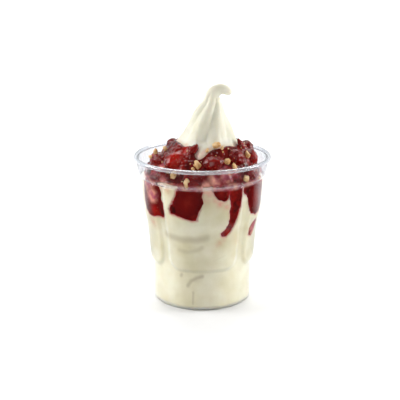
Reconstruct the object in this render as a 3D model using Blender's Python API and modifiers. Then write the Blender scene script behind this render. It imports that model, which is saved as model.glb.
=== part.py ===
"""A strawberry sundae in a clear moulded cup, in metres with +Z up.

Soft serve fills a clear plastic cup with four raised panels, rises above the cup's ledge as a
cone and ends in a fluted peak whose tip is bent over.  Strawberry sauce lies round the cone and
runs down between the soft serve and the wall.  Cut strawberries are set in it, and chopped nuts
are stuck to it.  The origin is on the floor under the middle of the cup, and the front is
towards -Y.  An azimuth is in degrees from the front, and grows towards +X.
"""

import math
import random

import bmesh
import bpy
from mathutils import Matrix, Vector, noise
from mathutils.bvhtree import BVHTree

SEED = 11

# The clear cup, outside sizes
CUP_HEIGHT = 0.1000
RIM_RADIUS = 0.0460
RIM_ROLL = 0.0014
WALL = 0.0007
COLLAR_TOP = (0.0970, 0.0445)
LEDGE_TOP = (0.0876, 0.0427)
LEDGE_FOOT = 0.0856
GROOVE_OUTLINE = (
    (0.0030, 0.0329),
    (0.0260, 0.0332),
    (0.0340, 0.0339),
    (0.0430, 0.0347),
    (0.0555, 0.0363),
    (0.0640, 0.0382),
    (0.0856, 0.03995),
)
HEEL = 0.0024
HEEL_ARC = (-15.0, -90.0)
INNER_HEEL_ARC = (-75.0, -20.0)
ROLL_ARC = (200.0, -60.0)
FOOT_RING = (0.0268, 0.0305)
PUSH_UP = 0.0018
PUSH_UP_RADIUS = 0.0246

# The four raised panels
PANELS = 4
PANEL_DEPTH = 0.00145
PANEL_HALF_ANGLE = 39.5
PANEL_MEAN_RADIUS = 0.0370
PANEL_FOOT = 0.0285
PANEL_CORNER = 0.0090
PANEL_SLOPE = 0.0036
PANEL_TURN = 1.0
PANEL_ROWS = (0.0260, 0.0280, 0.0300, 0.0335, 0.0380, 0.0555, 0.0640, 0.0856)

# Segments round the cup, closer together at the grooves
SEGMENTS = 44
CROWDING = 0.5

# Pieces that touch keep this gap, and what fills the cup keeps this one to the wall
GAP = 0.0003
WALL_GAP = 0.0004
LEDGE_CLEARANCE = 0.0006

# The top of the space that the sauce and the strawberries are trimmed to
ROOM_TOP = 0.1300

# Meshes hold 32-bit numbers, so a height read back from one is compared with this allowance
ROUNDING = 0.00001

# The soft serve above the ledge: (height along its middle line, radius)
CONE_OUTLINE = (
    (0.0872, 0.0392),
    (0.0910, 0.0347),
    (0.0965, 0.0296),
    (0.1020, 0.0250),
    (0.1070, 0.0210),
)
PEAK_OUTLINE = (
    (0.1105, 0.0182),
    (0.1140, 0.0164),
    (0.1180, 0.0148),
    (0.1230, 0.0125),
    (0.1280, 0.0102),
    (0.1335, 0.0074),
    (0.1380, 0.0054),
    (0.1415, 0.0045),
    (0.1450, 0.0038),
    (0.1485, 0.0033),
    (0.1515, 0.0028),
    (0.1538, 0.0020),
)
PEAK_END = 0.1548
PEAK_FROM = 0.1070
PEAK_SHIFT = 0.0046
PEAK_SHIFT_OVER = 0.0200
HOOK_FROM = 0.1378
HOOK_LEAN = 0.0020
HOOK_RADIUS = 0.0062
FLUTES = 6
FLUTE_DEPTH = 0.20
FLUTE_MEAN = 0.8
FLUTE_FROM = 0.1080
FLUTE_FULL = 0.1140
FLUTE_TWIST = 1500.0
FLUTE_START = 12.0
FLUTE_FADES = 0.1430

# How far up the cone its slope is measured over
SLOPE_REACH = 0.0015

# The left shoulder of the swirl, which shows beside the peak:
# (azimuth, half width in degrees, height, spread in height, how far it stands out)
SHOULDER = (-96.0, 34.0, 0.1085, 0.0060, 0.0026)

# Soft folds where the soft serve meets the wall:
# (azimuth, half width in degrees, height, spread in height, depth)
FOLDS = (
    (-12.0, 30.0, 0.0522, 0.0014, 0.0010),
    (-12.0, 12.0, 0.0430, 0.0012, 0.0008),
    (-8.0, 12.0, 0.0215, 0.0014, 0.0008),
    (120.0, 30.0, 0.0480, 0.0014, 0.0010),
    (-130.0, 26.0, 0.0560, 0.0014, 0.0010),
    (175.0, 24.0, 0.0400, 0.0014, 0.0010),
)

# Further in than this radius the folds fade out
FOLD_FREE_RADIUS = 0.0300

# Sauce on the cone, with the tongue of soft serve that shows above it as
# (azimuth, half width in degrees, how far the sauce drops)
SAUCE_TOP = 0.1085
SAUCE_FOOT = 0.0872
SAUCE_THICKNESS = 0.0026
SAUCE_EDGE_SHARE = 0.25
SAUCE_LUMP = 0.70
SAUCE_LUMP_SIZE = 0.0075
SAUCE_EDGE = 0.0005
SAUCE_OUTER_ROWS = 6
TOP_RIPPLE = 0.0016
TOP_RIPPLE_PACE = 2.3
TOP_RIPPLE_START = Vector((0.0, 0.0, 4.0))
FOOT_RIPPLE = 0.0008
FOOT_RIPPLE_PACE = 3.1
CREAM_TONGUE = (-4.0, 15.0, 0.0045)

# Sauce between the soft serve and the wall:
# (azimuth, height, half width, half height, lean in degrees, depth)
LOBES = (
    (-55.0, 0.0775, 0.0112, 0.0142, 4.0, 0.0050),
    (-14.0, 0.0785, 0.0122, 0.0132, -8.0, 0.0050),
    (17.0, 0.0825, 0.0058, 0.0078, 0.0, 0.0042),
    (34.0, 0.0770, 0.0038, 0.0155, 11.0, 0.0040),
    (28.0, 0.0610, 0.0026, 0.0090, 22.0, 0.0032),
    (61.0, 0.0765, 0.0102, 0.0138, -6.0, 0.0050),
    (101.0, 0.0800, 0.0070, 0.0115, 8.0, 0.0044),
    (136.0, 0.0765, 0.0108, 0.0140, -5.0, 0.0050),
    (172.0, 0.0790, 0.0044, 0.0160, 10.0, 0.0040),
    (-155.0, 0.0780, 0.0105, 0.0130, 6.0, 0.0050),
    (-117.0, 0.0800, 0.0062, 0.0120, -9.0, 0.0044),
)
LOBE_INSET = 0.0008
LOBE_UNEVEN = 0.16
LOBE_UNEVEN_PACE = 1.7

# Slices of strawberry at the wall:
# (azimuth, height, length, width, turn in the wall's plane)
WALL_BERRIES = (
    (-55.0, 0.0765, 0.0240, 0.0185, 80.0),
    (-14.0, 0.0765, 0.0220, 0.0200, 62.0),
    (17.0, 0.0835, 0.0110, 0.0095, 95.0),
    (61.0, 0.0755, 0.0225, 0.0165, 105.0),
    (136.0, 0.0760, 0.0230, 0.0180, 70.0),
    (-155.0, 0.0770, 0.0220, 0.0175, 100.0),
)
WALL_BERRY_DEPTH = 0.0032

# Cut strawberries on the cone:
# (azimuth, height on the cone, length, width, thickness, turn on the cone, tilt out of it)
CONE_BERRIES = (
    (-46.0, 0.0990, 0.0165, 0.0140, 0.0060, 35.0, 8.0),
    (-27.0, 0.1068, 0.0095, 0.0065, 0.0044, 70.0, -6.0),
    (9.0, 0.0995, 0.0150, 0.0115, 0.0056, 8.0, 6.0),
    (-43.0, 0.0905, 0.0125, 0.0095, 0.0046, -20.0, 0.0),
    (-10.0, 0.0922, 0.0150, 0.0085, 0.0040, 8.0, 3.0),
    (44.0, 0.1010, 0.0150, 0.0125, 0.0060, -30.0, -8.0),
    (67.0, 0.1070, 0.0105, 0.0065, 0.0048, 85.0, 14.0),
    (82.0, 0.0985, 0.0150, 0.0120, 0.0050, 15.0, 4.0),
    (56.0, 0.0905, 0.0130, 0.0095, 0.0046, 25.0, -4.0),
    (-80.0, 0.0960, 0.0155, 0.0120, 0.0054, 20.0, -7.0),
    (118.0, 0.0990, 0.0165, 0.0140, 0.0058, -15.0, -6.0),
    (143.0, 0.1060, 0.0100, 0.0075, 0.0046, 65.0, 6.0),
    (158.0, 0.0955, 0.0155, 0.0125, 0.0054, 40.0, 8.0),
    (-162.0, 0.1010, 0.0150, 0.0130, 0.0058, 5.0, -9.0),
    (-133.0, 0.0960, 0.0165, 0.0135, 0.0056, -35.0, 6.0),
    (-108.0, 0.1045, 0.0110, 0.0085, 0.0048, 50.0, -5.0),
)
BERRY_SUNK = 0.0016
BERRY_BROADEST = 1.12
BERRY_TAPER = 0.42
BERRY_TAPER_POWER = 1.6
BERRY_UNEVEN = 0.14
BERRY_UNEVEN_PACE = 3.1
BERRY_DRAW_STEP = Vector((7.3, 1.9, 0.0))
BERRY_SEGMENTS = 8
BERRY_RINGS = 6

# Chopped nuts: shares of their size, and the ones seen from the front as
# (azimuth, height on the cone, size)
NUT_SIZES = (0.0032, 0.0054)
NUT_CORNERS = 10
NUT_CORNER_TURN = 2.4
NUT_CORNER_STRAY = 0.4
NUT_WIDTHS = (0.70, 1.00)
NUT_THICKNESSES = (0.55, 0.85)
NUT_CORNER_REACH = (0.85, 1.10)
NUT_TIP = 0.6
NUT_RISE = 0.24
NUT_NUDGES = (0.0, 0.0018, -0.0018, 0.0036, -0.0036)
NUT_RAY = 0.0200
FRONT_NUTS = (
    (-74.0, 0.1020, 0.0052),
    (-62.0, 0.1035, 0.0044),
    (22.0, 0.1062, 0.0056),
    (27.0, 0.1025, 0.0040),
    (-10.0, 0.0955, 0.0056),
    (-26.0, 0.0925, 0.0050),
    (-17.0, 0.0880, 0.0058),
    (31.0, 0.0960, 0.0044),
    (22.0, 0.0910, 0.0044),
    (41.0, 0.0890, 0.0052),
    (67.0, 0.0895, 0.0042),
    (62.0, 0.1015, 0.0036),
    (-60.0, 0.0925, 0.0042),
)
BACK_NUTS = 24
BACK_AZIMUTHS = (85.0, 280.0)
BACK_HEIGHTS = (0.0892, 0.1055)
NUT_CLEARANCE = 0.0004

SHARP_ANGLE = 40.0


def clear_scene():
    """Remove what a new file holds."""
    for obj in list(bpy.data.objects):
        bpy.data.objects.remove(obj, do_unlink=True)


def new_collection(name):
    """A collection linked to the scene."""
    group = bpy.data.collections.new(name)
    bpy.context.scene.collection.children.link(group)
    return group


def material(name, colour, roughness, transmission=0.0, coat=0.0):
    """A Principled BSDF finish with one linear colour."""
    mat = bpy.data.materials.new(name)
    mat.use_nodes = True
    shader = mat.node_tree.nodes["Principled BSDF"]
    shader.inputs["Base Color"].default_value = (*colour, 1.0)
    shader.inputs["Roughness"].default_value = roughness
    shader.inputs["Metallic"].default_value = 0.0
    shader.inputs["Transmission Weight"].default_value = transmission
    shader.inputs["Coat Weight"].default_value = coat
    mat.diffuse_color = (*colour, 1.0)
    return mat


def add_object(name, mesh, group, mat=None):
    """Put a mesh in a collection as an object."""
    obj = bpy.data.objects.new(name, mesh)
    group.objects.link(obj)
    if mat:
        mesh.materials.clear()
        mesh.materials.append(mat)
    return obj


def smoothstep(low, high, value):
    """0 below low, 1 above high, and an even slope between."""
    share = min(1.0, max(0.0, (value - low) / (high - low)))
    return share * share * (3.0 - 2.0 * share)


def read_outline(outline, height):
    """The radius at a height, straight between the outline's points."""
    if height <= outline[0][0]:
        return outline[0][1]
    for (low, first), (high, second) in zip(outline, outline[1:]):
        if height <= high:
            return first + (second - first) * (height - low) / (high - low)
    return outline[-1][1]


def turn_apart(azimuth, middle):
    """Degrees between two azimuths, from -180 to 180."""
    return (azimuth - middle + 180.0) % 360.0 - 180.0


def hump(azimuth, middle, half_width):
    """1 at the middle azimuth, falling to 0 about a half width away."""
    return math.exp(-2.0 * (turn_apart(azimuth, middle) / half_width) ** 2)


def direction(azimuth):
    """The level unit vector at an azimuth."""
    angle = math.radians(azimuth)
    return Vector((math.sin(angle), -math.cos(angle), 0.0))


def panel_share(azimuth, height):
    """1 on a raised panel, 0 in the grooves between them and on the foot below."""
    pitch = 360.0 / PANELS
    across = abs((azimuth - PANEL_TURN + pitch / 2.0) % pitch - pitch / 2.0)
    side = math.radians(PANEL_HALF_ANGLE - across) * PANEL_MEAN_RADIUS
    above = height - PANEL_FOOT
    inside = min(side, above)
    if side < PANEL_CORNER and above < PANEL_CORNER:
        inside = PANEL_CORNER - math.hypot(PANEL_CORNER - side, PANEL_CORNER - above)
    return smoothstep(-PANEL_SLOPE / 2.0, PANEL_SLOPE / 2.0, inside)


def relief(azimuth, height):
    """How far the wall stands out from the groove outline."""
    if height > LEDGE_FOOT + ROUNDING:
        return 0.0
    return PANEL_DEPTH * panel_share(azimuth, height)


def wall_outline():
    """The wall from the heel up to under the rim, as it is in a groove."""
    rows = [(height, read_outline(GROOVE_OUTLINE, height)) for height in PANEL_ROWS]
    return [GROOVE_OUTLINE[0], *rows, LEDGE_TOP, COLLAR_TOP]


def arc(centre, radius, start, end, steps):
    """Points of an arc in the profile plane, as (radius from the axis, height)."""
    points = []
    for step in range(steps + 1):
        angle = math.radians(start + (end - start) * step / steps)
        points.append((centre[0] + radius * math.cos(angle), centre[1] + radius * math.sin(angle)))
    return points


def turned(profile):
    """A closed mesh turned from (radius, height) points that run down the outer side."""
    mesh = bpy.data.meshes.new("profile")
    points = [(radius, 0.0, height) for radius, height in profile]
    edges = [(index, index + 1) for index in range(len(points) - 1)]
    mesh.from_pydata(points, edges, [])
    obj = bpy.data.objects.new("profile", mesh)
    bpy.context.scene.collection.objects.link(obj)
    screw = obj.modifiers.new("Screw", "SCREW")
    screw.steps = SEGMENTS
    screw.render_steps = SEGMENTS
    screw.use_merge_vertices = True
    screw.merge_threshold = 0.000001
    return applied(obj)


def applied(obj):
    """The evaluated mesh of an object, which is then removed."""
    bpy.context.view_layer.update()
    graph = bpy.context.evaluated_depsgraph_get()
    mesh = bpy.data.meshes.new_from_object(obj.evaluated_get(graph), depsgraph=graph)
    mesh.transform(obj.matrix_world)
    old = obj.data
    bpy.data.objects.remove(obj, do_unlink=True)
    if old.users == 0:
        bpy.data.meshes.remove(old)
    return mesh


def crowd(azimuth):
    """Move an azimuth towards the nearest groove, so that the grooves get more segments."""
    wave = math.radians(PANELS * (azimuth - PANEL_TURN))
    return azimuth + math.degrees(CROWDING / PANELS * math.sin(wave))


def reshape(mesh, place):
    """Move each vertex of a turned mesh to place(azimuth, radius, height)."""
    for vertex in mesh.vertices:
        x, y, height = vertex.co
        radius = math.hypot(x, y)
        azimuth = crowd(math.degrees(math.atan2(x, -y))) if radius > 0.0 else 0.0
        vertex.co = place(azimuth, radius, height)
    mesh.update()


def on_wall(azimuth, radius, height):
    """A point of the cup, with the panels' relief added."""
    return direction(azimuth) * (radius + relief(azimuth, height)) + Vector((0.0, 0.0, height))


def cup_profile():
    """The closed section of the cup: floor and wall inside, rim, wall and base outside."""
    outside = [(radius, height) for height, radius in wall_outline()]
    inside = [(radius - WALL, height) for radius, height in outside]
    roll_centre = (RIM_RADIUS - RIM_ROLL, CUP_HEIGHT - RIM_ROLL)
    roll = arc(roll_centre, RIM_ROLL, *ROLL_ARC, 6)
    inside_heel = arc((FOOT_RING[1] - WALL, HEEL + WALL), HEEL - WALL, *INNER_HEEL_ARC, 1)
    heel_centre = (GROOVE_OUTLINE[0][1] - HEEL, HEEL)
    heel = arc(heel_centre, HEEL, *HEEL_ARC, 3)
    floor = [(0.0, PUSH_UP + WALL), (PUSH_UP_RADIUS - WALL, PUSH_UP + WALL)]
    trough = [(FOOT_RING[0], WALL)]
    base = [(FOOT_RING[0], 0.0), (PUSH_UP_RADIUS, PUSH_UP), (0.0, PUSH_UP)]
    return floor + trough + inside_heel + inside + roll + outside[::-1] + heel + base


def fill_profile(top_rows):
    """The outline of what fills the cup, from its top rows down the wall to the floor."""
    inset = WALL + WALL_GAP
    wall = [(radius - inset, height) for height, radius in wall_outline()[:-2]]
    heel = arc((FOOT_RING[1] - inset, HEEL + inset), HEEL - WALL, *INNER_HEEL_ARC, 1)
    floor = [(FOOT_RING[0], inset), (PUSH_UP_RADIUS - inset, PUSH_UP + inset), (0.0, PUSH_UP + inset)]
    return top_rows + wall[::-1] + heel[::-1] + floor


def middle_line(height):
    """Where the middle of the soft serve is at a height along it, and its sideways direction."""
    shift = PEAK_SHIFT * smoothstep(PEAK_FROM - PEAK_SHIFT_OVER, PEAK_FROM, height)
    lean = HOOK_LEAN * smoothstep(HOOK_FROM - 2.0 * HOOK_RADIUS, HOOK_FROM, height)
    if height <= HOOK_FROM:
        return Vector((shift + lean, 0.0, height)), Vector((1.0, 0.0, 0.0))
    bend = (height - HOOK_FROM) / HOOK_RADIUS
    x = shift + lean + HOOK_RADIUS * (1.0 - math.cos(bend))
    z = HOOK_FROM + HOOK_RADIUS * math.sin(bend)
    return Vector((x, 0.0, z)), Vector((math.cos(bend), 0.0, -math.sin(bend)))


def flute(azimuth, height):
    """The radius as a share of the plain one: round ridges with narrow valleys between."""
    ridge = FLUTES * (azimuth - FLUTE_START - FLUTE_TWIST * (height - FLUTE_FROM))
    round_ridge = abs(math.cos(math.radians(ridge / 2.0)))
    strength = smoothstep(FLUTE_FROM, FLUTE_FULL, height)
    strength *= 1.0 - smoothstep(HOOK_FROM, FLUTE_FADES, height)
    return 1.0 + FLUTE_DEPTH * strength * (round_ridge - FLUTE_MEAN)


def fold_depth(azimuth, height):
    """How far the soft folds pull the surface back from the wall."""
    depth = 0.0
    for middle, half_width, fold_height, spread, deepest in FOLDS:
        across = hump(azimuth, middle, half_width)
        depth += deepest * across * math.exp(-((height - fold_height) / spread) ** 2)
    return depth


def on_cream(azimuth, radius, height):
    """A point of the soft serve."""
    if height <= LEDGE_FOOT + ROUNDING:
        outer_share = smoothstep(0.0, FOLD_FREE_RADIUS, radius)
        return on_wall(azimuth, radius - fold_depth(azimuth, height) * outer_share, height)
    middle, half_width, shoulder_height, spread, rise = SHOULDER
    bulge = rise * hump(azimuth, middle, half_width)
    bulge *= math.exp(-((height - shoulder_height) / spread) ** 2)
    radius = radius * flute(azimuth, height) + bulge
    centre, sideways = middle_line(height)
    outwards = direction(azimuth)
    return centre + sideways * (outwards.x * radius) + Vector((0.0, outwards.y * radius, 0.0))


def cone_point(azimuth, height):
    """A point on the cone of soft serve, and the direction out of it."""
    outline = CONE_OUTLINE + PEAK_OUTLINE
    higher = height + SLOPE_REACH
    point = on_cream(azimuth, read_outline(outline, height), height)
    above = on_cream(azimuth, read_outline(outline, higher), higher)
    uphill = (above - point).normalized()
    sideways = Vector((0.0, 0.0, 1.0)).cross(direction(azimuth))
    return point, sideways.cross(uphill).normalized()


def make_cup(group, mat):
    """The clear cup."""
    mesh = turned(cup_profile())
    reshape(mesh, on_wall)
    return add_object("cup", mesh, group, mat)


def make_room():
    """The space inside the cup that the contents may fill, up past the rim."""
    inset = WALL + WALL_GAP
    collar = LEDGE_TOP[1] - inset - LEDGE_CLEARANCE
    top = [(0.0, ROOM_TOP), (collar, ROOM_TOP), (collar, LEDGE_TOP[0])]
    mesh = turned(fill_profile(top))
    reshape(mesh, on_wall)
    return add_object("room", mesh, bpy.context.scene.collection)


def make_cream():
    """The soft serve before its pockets are cut."""
    rows = [(0.0, PEAK_END)]
    rows += [(radius, height) for height, radius in reversed(CONE_OUTLINE + PEAK_OUTLINE)]
    mesh = turned(fill_profile(rows))
    reshape(mesh, on_cream)
    return add_object("cream", mesh, bpy.context.scene.collection)


def loft_ring(sections):
    """A closed ring through closed sections that all have the same number of points."""
    shape = bmesh.new()
    rows = [[shape.verts.new(point) for point in section] for section in sections]
    count = len(rows[0])
    for index, row in enumerate(rows):
        following = rows[(index + 1) % len(rows)]
        for step in range(count):
            after = (step + 1) % count
            shape.faces.new((row[step], row[after], following[after], following[step]))
    bmesh.ops.recalc_face_normals(shape, faces=shape.faces)
    mesh = bpy.data.meshes.new("ring")
    shape.to_mesh(mesh)
    shape.free()
    return mesh


def sauce_section(azimuth):
    """One section of the sauce on the cone: up its outer face and down its inner face."""
    outwards = direction(azimuth)
    ripple = TOP_RIPPLE * noise.noise(outwards * TOP_RIPPLE_PACE + TOP_RIPPLE_START)
    middle, half_width, drop = CREAM_TONGUE
    top = SAUCE_TOP + ripple - drop * hump(azimuth, middle, half_width)
    foot = SAUCE_FOOT + FOOT_RIPPLE * noise.noise(outwards * FOOT_RIPPLE_PACE)
    outer = []
    for row in range(SAUCE_OUTER_ROWS):
        share = row / (SAUCE_OUTER_ROWS - 1)
        point, out = cone_point(azimuth, foot + (top - foot) * share)
        lump = 1.0 + SAUCE_LUMP * noise.noise(point / SAUCE_LUMP_SIZE)
        bulge = math.sqrt(max(0.0, 4.0 * share * (1.0 - share)))
        swell = SAUCE_EDGE_SHARE + (1.0 - SAUCE_EDGE_SHARE) * bulge
        outer.append(point + out * (GAP + SAUCE_THICKNESS * swell * lump))
    inner = []
    rows = [foot] + [min(height, top - SAUCE_EDGE) for height, _ in CONE_OUTLINE[1:]] + [top]
    for height in reversed(rows):
        point, out = cone_point(azimuth, height)
        inner.append(point + out * GAP)
    return outer + inner


def make_sauce_ring():
    """The sauce that lies round the cone."""
    azimuths = [crowd(360.0 * index / SEGMENTS) for index in range(SEGMENTS)]
    mesh = loft_ring([sauce_section(azimuth) for azimuth in azimuths])
    return add_object("sauce", mesh, bpy.context.scene.collection)


def wall_frame(azimuth, height, inset, turn):
    """Axes at the wall: X along it, Y out through it, Z up it, turned in the wall's plane."""
    radius = read_outline(GROOVE_OUTLINE, height) + relief(azimuth, height) - WALL - inset
    place = direction(azimuth) * radius + Vector((0.0, 0.0, height))
    facing = Matrix.Rotation(math.radians(azimuth + 180.0), 4, "Z")
    return Matrix.Translation(place) @ facing @ Matrix.Rotation(math.radians(turn), 4, "Y")


def swell_mesh(mesh, extra):
    """Grow a closed mesh outwards by an even amount."""
    shape = bmesh.new()
    shape.from_mesh(mesh)
    shape.normal_update()
    moves = [vertex.normal * extra * vertex.calc_shell_factor() for vertex in shape.verts]
    for vertex, move in zip(shape.verts, moves):
        vertex.co += move
    shape.to_mesh(mesh)
    shape.free()


def lobe(azimuth, height, half_width, half_height, lean, depth, extra):
    """A flat blob of sauce against the wall."""
    shape = bmesh.new()
    bmesh.ops.create_icosphere(shape, subdivisions=2, radius=1.0)
    size = Vector((half_width + extra, depth + extra, half_height + extra))
    for vertex in shape.verts:
        draw = noise.noise(vertex.co * LOBE_UNEVEN_PACE + Vector((azimuth, height, 0.0)))
        vertex.co = vertex.co * size * (1.0 + LOBE_UNEVEN * draw)
    shape.transform(wall_frame(azimuth, height, LOBE_INSET, lean))
    mesh = bpy.data.meshes.new("lobe")
    shape.to_mesh(mesh)
    shape.free()
    return add_object("lobe", mesh, bpy.context.scene.collection)


def berry_mesh(length, width, front, back, seed):
    """A strawberry with its long axis along X, cut flat at front and at back along Y."""
    shape = bmesh.new()
    bmesh.ops.create_uvsphere(
        shape, u_segments=BERRY_SEGMENTS, v_segments=BERRY_RINGS, radius=0.5
    )
    shape.transform(Matrix.Rotation(math.radians(90.0), 4, "Y"))
    for vertex in shape.verts:
        towards_tip = vertex.co.x + 0.5
        taper = BERRY_BROADEST - BERRY_TAPER * towards_tip ** BERRY_TAPER_POWER
        draw = noise.noise(vertex.co * BERRY_UNEVEN_PACE + BERRY_DRAW_STEP * seed)
        across = width * taper * (1.0 + BERRY_UNEVEN * draw)
        vertex.co = Vector((vertex.co.x * length, vertex.co.y * across, vertex.co.z * across))
    for place, facing in ((front, 1.0), (back, -1.0)):
        geometry = shape.verts[:] + shape.edges[:] + shape.faces[:]
        point = Vector((0.0, place, 0.0))
        normal = Vector((0.0, facing, 0.0))
        cut = bmesh.ops.bisect_plane(
            shape, geom=geometry, dist=0.00001, plane_co=point, plane_no=normal, clear_outer=True
        )
        rim = [part for part in cut["geom_cut"] if isinstance(part, bmesh.types.BMEdge)]
        bmesh.ops.contextual_create(shape, geom=rim)
    bmesh.ops.remove_doubles(shape, verts=shape.verts, dist=0.0001)
    bmesh.ops.recalc_face_normals(shape, faces=shape.faces)
    mesh = bpy.data.meshes.new("strawberry")
    shape.to_mesh(mesh)
    shape.free()
    return mesh


def cone_frame(azimuth, height, turn):
    """Axes on the cone: Y out of it, X across it, turned about Y."""
    point, out = cone_point(azimuth, height)
    across = Vector((0.0, 0.0, 1.0)).cross(out).normalized()
    axes = Matrix((across, out, across.cross(out))).transposed().to_4x4()
    place = point + out * (GAP + SAUCE_THICKNESS - BERRY_SUNK)
    return Matrix.Translation(place) @ axes @ Matrix.Rotation(math.radians(turn), 4, "Y")


def strawberries():
    """The cut strawberries as meshes in place, those at the wall first."""
    meshes = []
    for azimuth, height, length, width, turn in WALL_BERRIES:
        mesh = berry_mesh(length, width, width / 4.0, -WALL_BERRY_DEPTH, len(meshes))
        mesh.transform(wall_frame(azimuth, height, 0.0, turn))
        meshes.append(mesh)
    for azimuth, height, length, width, thickness, turn, tilt in CONE_BERRIES:
        mesh = berry_mesh(length, width, thickness, 0.0, len(meshes))
        tip = Matrix.Rotation(math.radians(tilt), 4, "Z")
        mesh.transform(cone_frame(azimuth, height, turn) @ tip)
        meshes.append(mesh)
    return meshes


def boolean(obj, operation, others, solver="EXACT"):
    """Join, cut or trim an object with others, apply it and remove them."""
    group = new_collection("cutters")
    for other in others:
        for owner in list(other.users_collection):
            owner.objects.unlink(other)
        group.objects.link(other)
        other.hide_render = True
        other.display_type = "WIRE"
    modifier = obj.modifiers.new("Boolean", "BOOLEAN")
    modifier.operation = operation
    modifier.solver = solver
    modifier.operand_type = "COLLECTION"
    modifier.collection = group
    bpy.context.view_layer.update()
    graph = bpy.context.evaluated_depsgraph_get()
    mesh = bpy.data.meshes.new_from_object(obj.evaluated_get(graph), depsgraph=graph)
    obj.modifiers.clear()
    obj.data = mesh
    for other in list(group.objects):
        bpy.data.objects.remove(other, do_unlink=True)
    bpy.data.collections.remove(group)
    return obj


def keep_main_body(obj):
    """Drop every loose scrap of a mesh but the body with the most volume."""
    shape = bmesh.new()
    shape.from_mesh(obj.data)
    bmesh.ops.triangulate(shape, faces=shape.faces)
    bodies = []
    waiting = set(shape.faces)
    while waiting:
        body = [waiting.pop()]
        for face in body:
            for edge in face.edges:
                for near in edge.link_faces:
                    if near in waiting:
                        waiting.remove(near)
                        body.append(near)
        bodies.append(body)
    bodies.sort(key=body_volume)
    scraps = [face for body in bodies[:-1] for face in body]
    bmesh.ops.delete(shape, geom=scraps, context="FACES")
    shape.to_mesh(obj.data)
    shape.free()


def body_volume(faces):
    """The volume inside a list of triangles."""
    total = 0.0
    for face in faces:
        first, second, third = (vertex.co for vertex in face.verts)
        total += first.dot(second.cross(third)) / 6.0
    return total


def nut_mesh(size, place, draw):
    """A chopped piece of nut: the hull of a few points on an uneven ball."""
    shape = bmesh.new()
    form = Vector((1.0, draw.uniform(*NUT_WIDTHS), draw.uniform(*NUT_THICKNESSES)))
    for index in range(NUT_CORNERS):
        level = 1.0 - 2.0 * (index + 0.5) / NUT_CORNERS
        turn = NUT_CORNER_TURN * index + draw.uniform(-NUT_CORNER_STRAY, NUT_CORNER_STRAY)
        ring = math.sqrt(1.0 - level * level)
        corner = Vector((ring * math.cos(turn), ring * math.sin(turn), level))
        shape.verts.new(corner * form * 0.5 * size * draw.uniform(*NUT_CORNER_REACH))
    bmesh.ops.convex_hull(shape, input=shape.verts)
    loose = [vertex for vertex in shape.verts if not vertex.link_faces]
    bmesh.ops.delete(shape, geom=loose, context="VERTS")
    spin = Matrix.Rotation(draw.uniform(0.0, math.tau), 4, "Z")
    tip = Matrix.Rotation(draw.uniform(-NUT_TIP, NUT_TIP), 4, "X")
    shape.transform(Matrix.Translation(place) @ spin @ tip)
    bmesh.ops.recalc_face_normals(shape, faces=shape.faces)
    mesh = bpy.data.meshes.new("nut")
    shape.to_mesh(mesh)
    shape.free()
    return mesh


def tree_of(obj):
    """A search tree of an object's surface."""
    shape = bmesh.new()
    shape.from_mesh(obj.data)
    tree = BVHTree.FromBMesh(shape)
    shape.free()
    return tree


def nut_is_clear(mesh, trees):
    """Whether a nut keeps clear of the soft serve, the strawberries and the cup."""
    for vertex in mesh.vertices:
        for tree in trees:
            spot, normal, _, distance = tree.find_nearest(vertex.co)
            if distance < NUT_CLEARANCE or (vertex.co - spot).dot(normal) < 0.0:
                return False
    return True


def make_nuts(sauce, trees):
    """Chopped nuts set in the sauce, each at the first spot near its place that is free."""
    draw = random.Random(SEED)
    places = list(FRONT_NUTS)
    for _ in range(BACK_NUTS):
        azimuth = draw.uniform(*BACK_AZIMUTHS)
        places.append((azimuth, draw.uniform(*BACK_HEIGHTS), draw.uniform(*NUT_SIZES)))
    surface = tree_of(sauce)
    nuts = []
    for azimuth, height, size in places:
        point, out = cone_point(azimuth, height)
        for nudge in NUT_NUDGES:
            start = point + out * NUT_RAY + direction(azimuth + 90.0) * nudge
            spot, _, _, _ = surface.ray_cast(start, -out)
            if spot is None:
                continue
            mesh = nut_mesh(size, spot + out * size * NUT_RISE, draw)
            if nut_is_clear(mesh, trees):
                nuts.append(add_object("nut", mesh, bpy.context.scene.collection))
                trees.append(tree_of(nuts[-1]))
                break
    return nuts


def finish(obj):
    """Shade a piece smooth, with its sharp edges kept."""
    obj.data.shade_smooth()
    obj.data.set_sharp_from_angle(angle=math.radians(SHARP_ANGLE))


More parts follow.
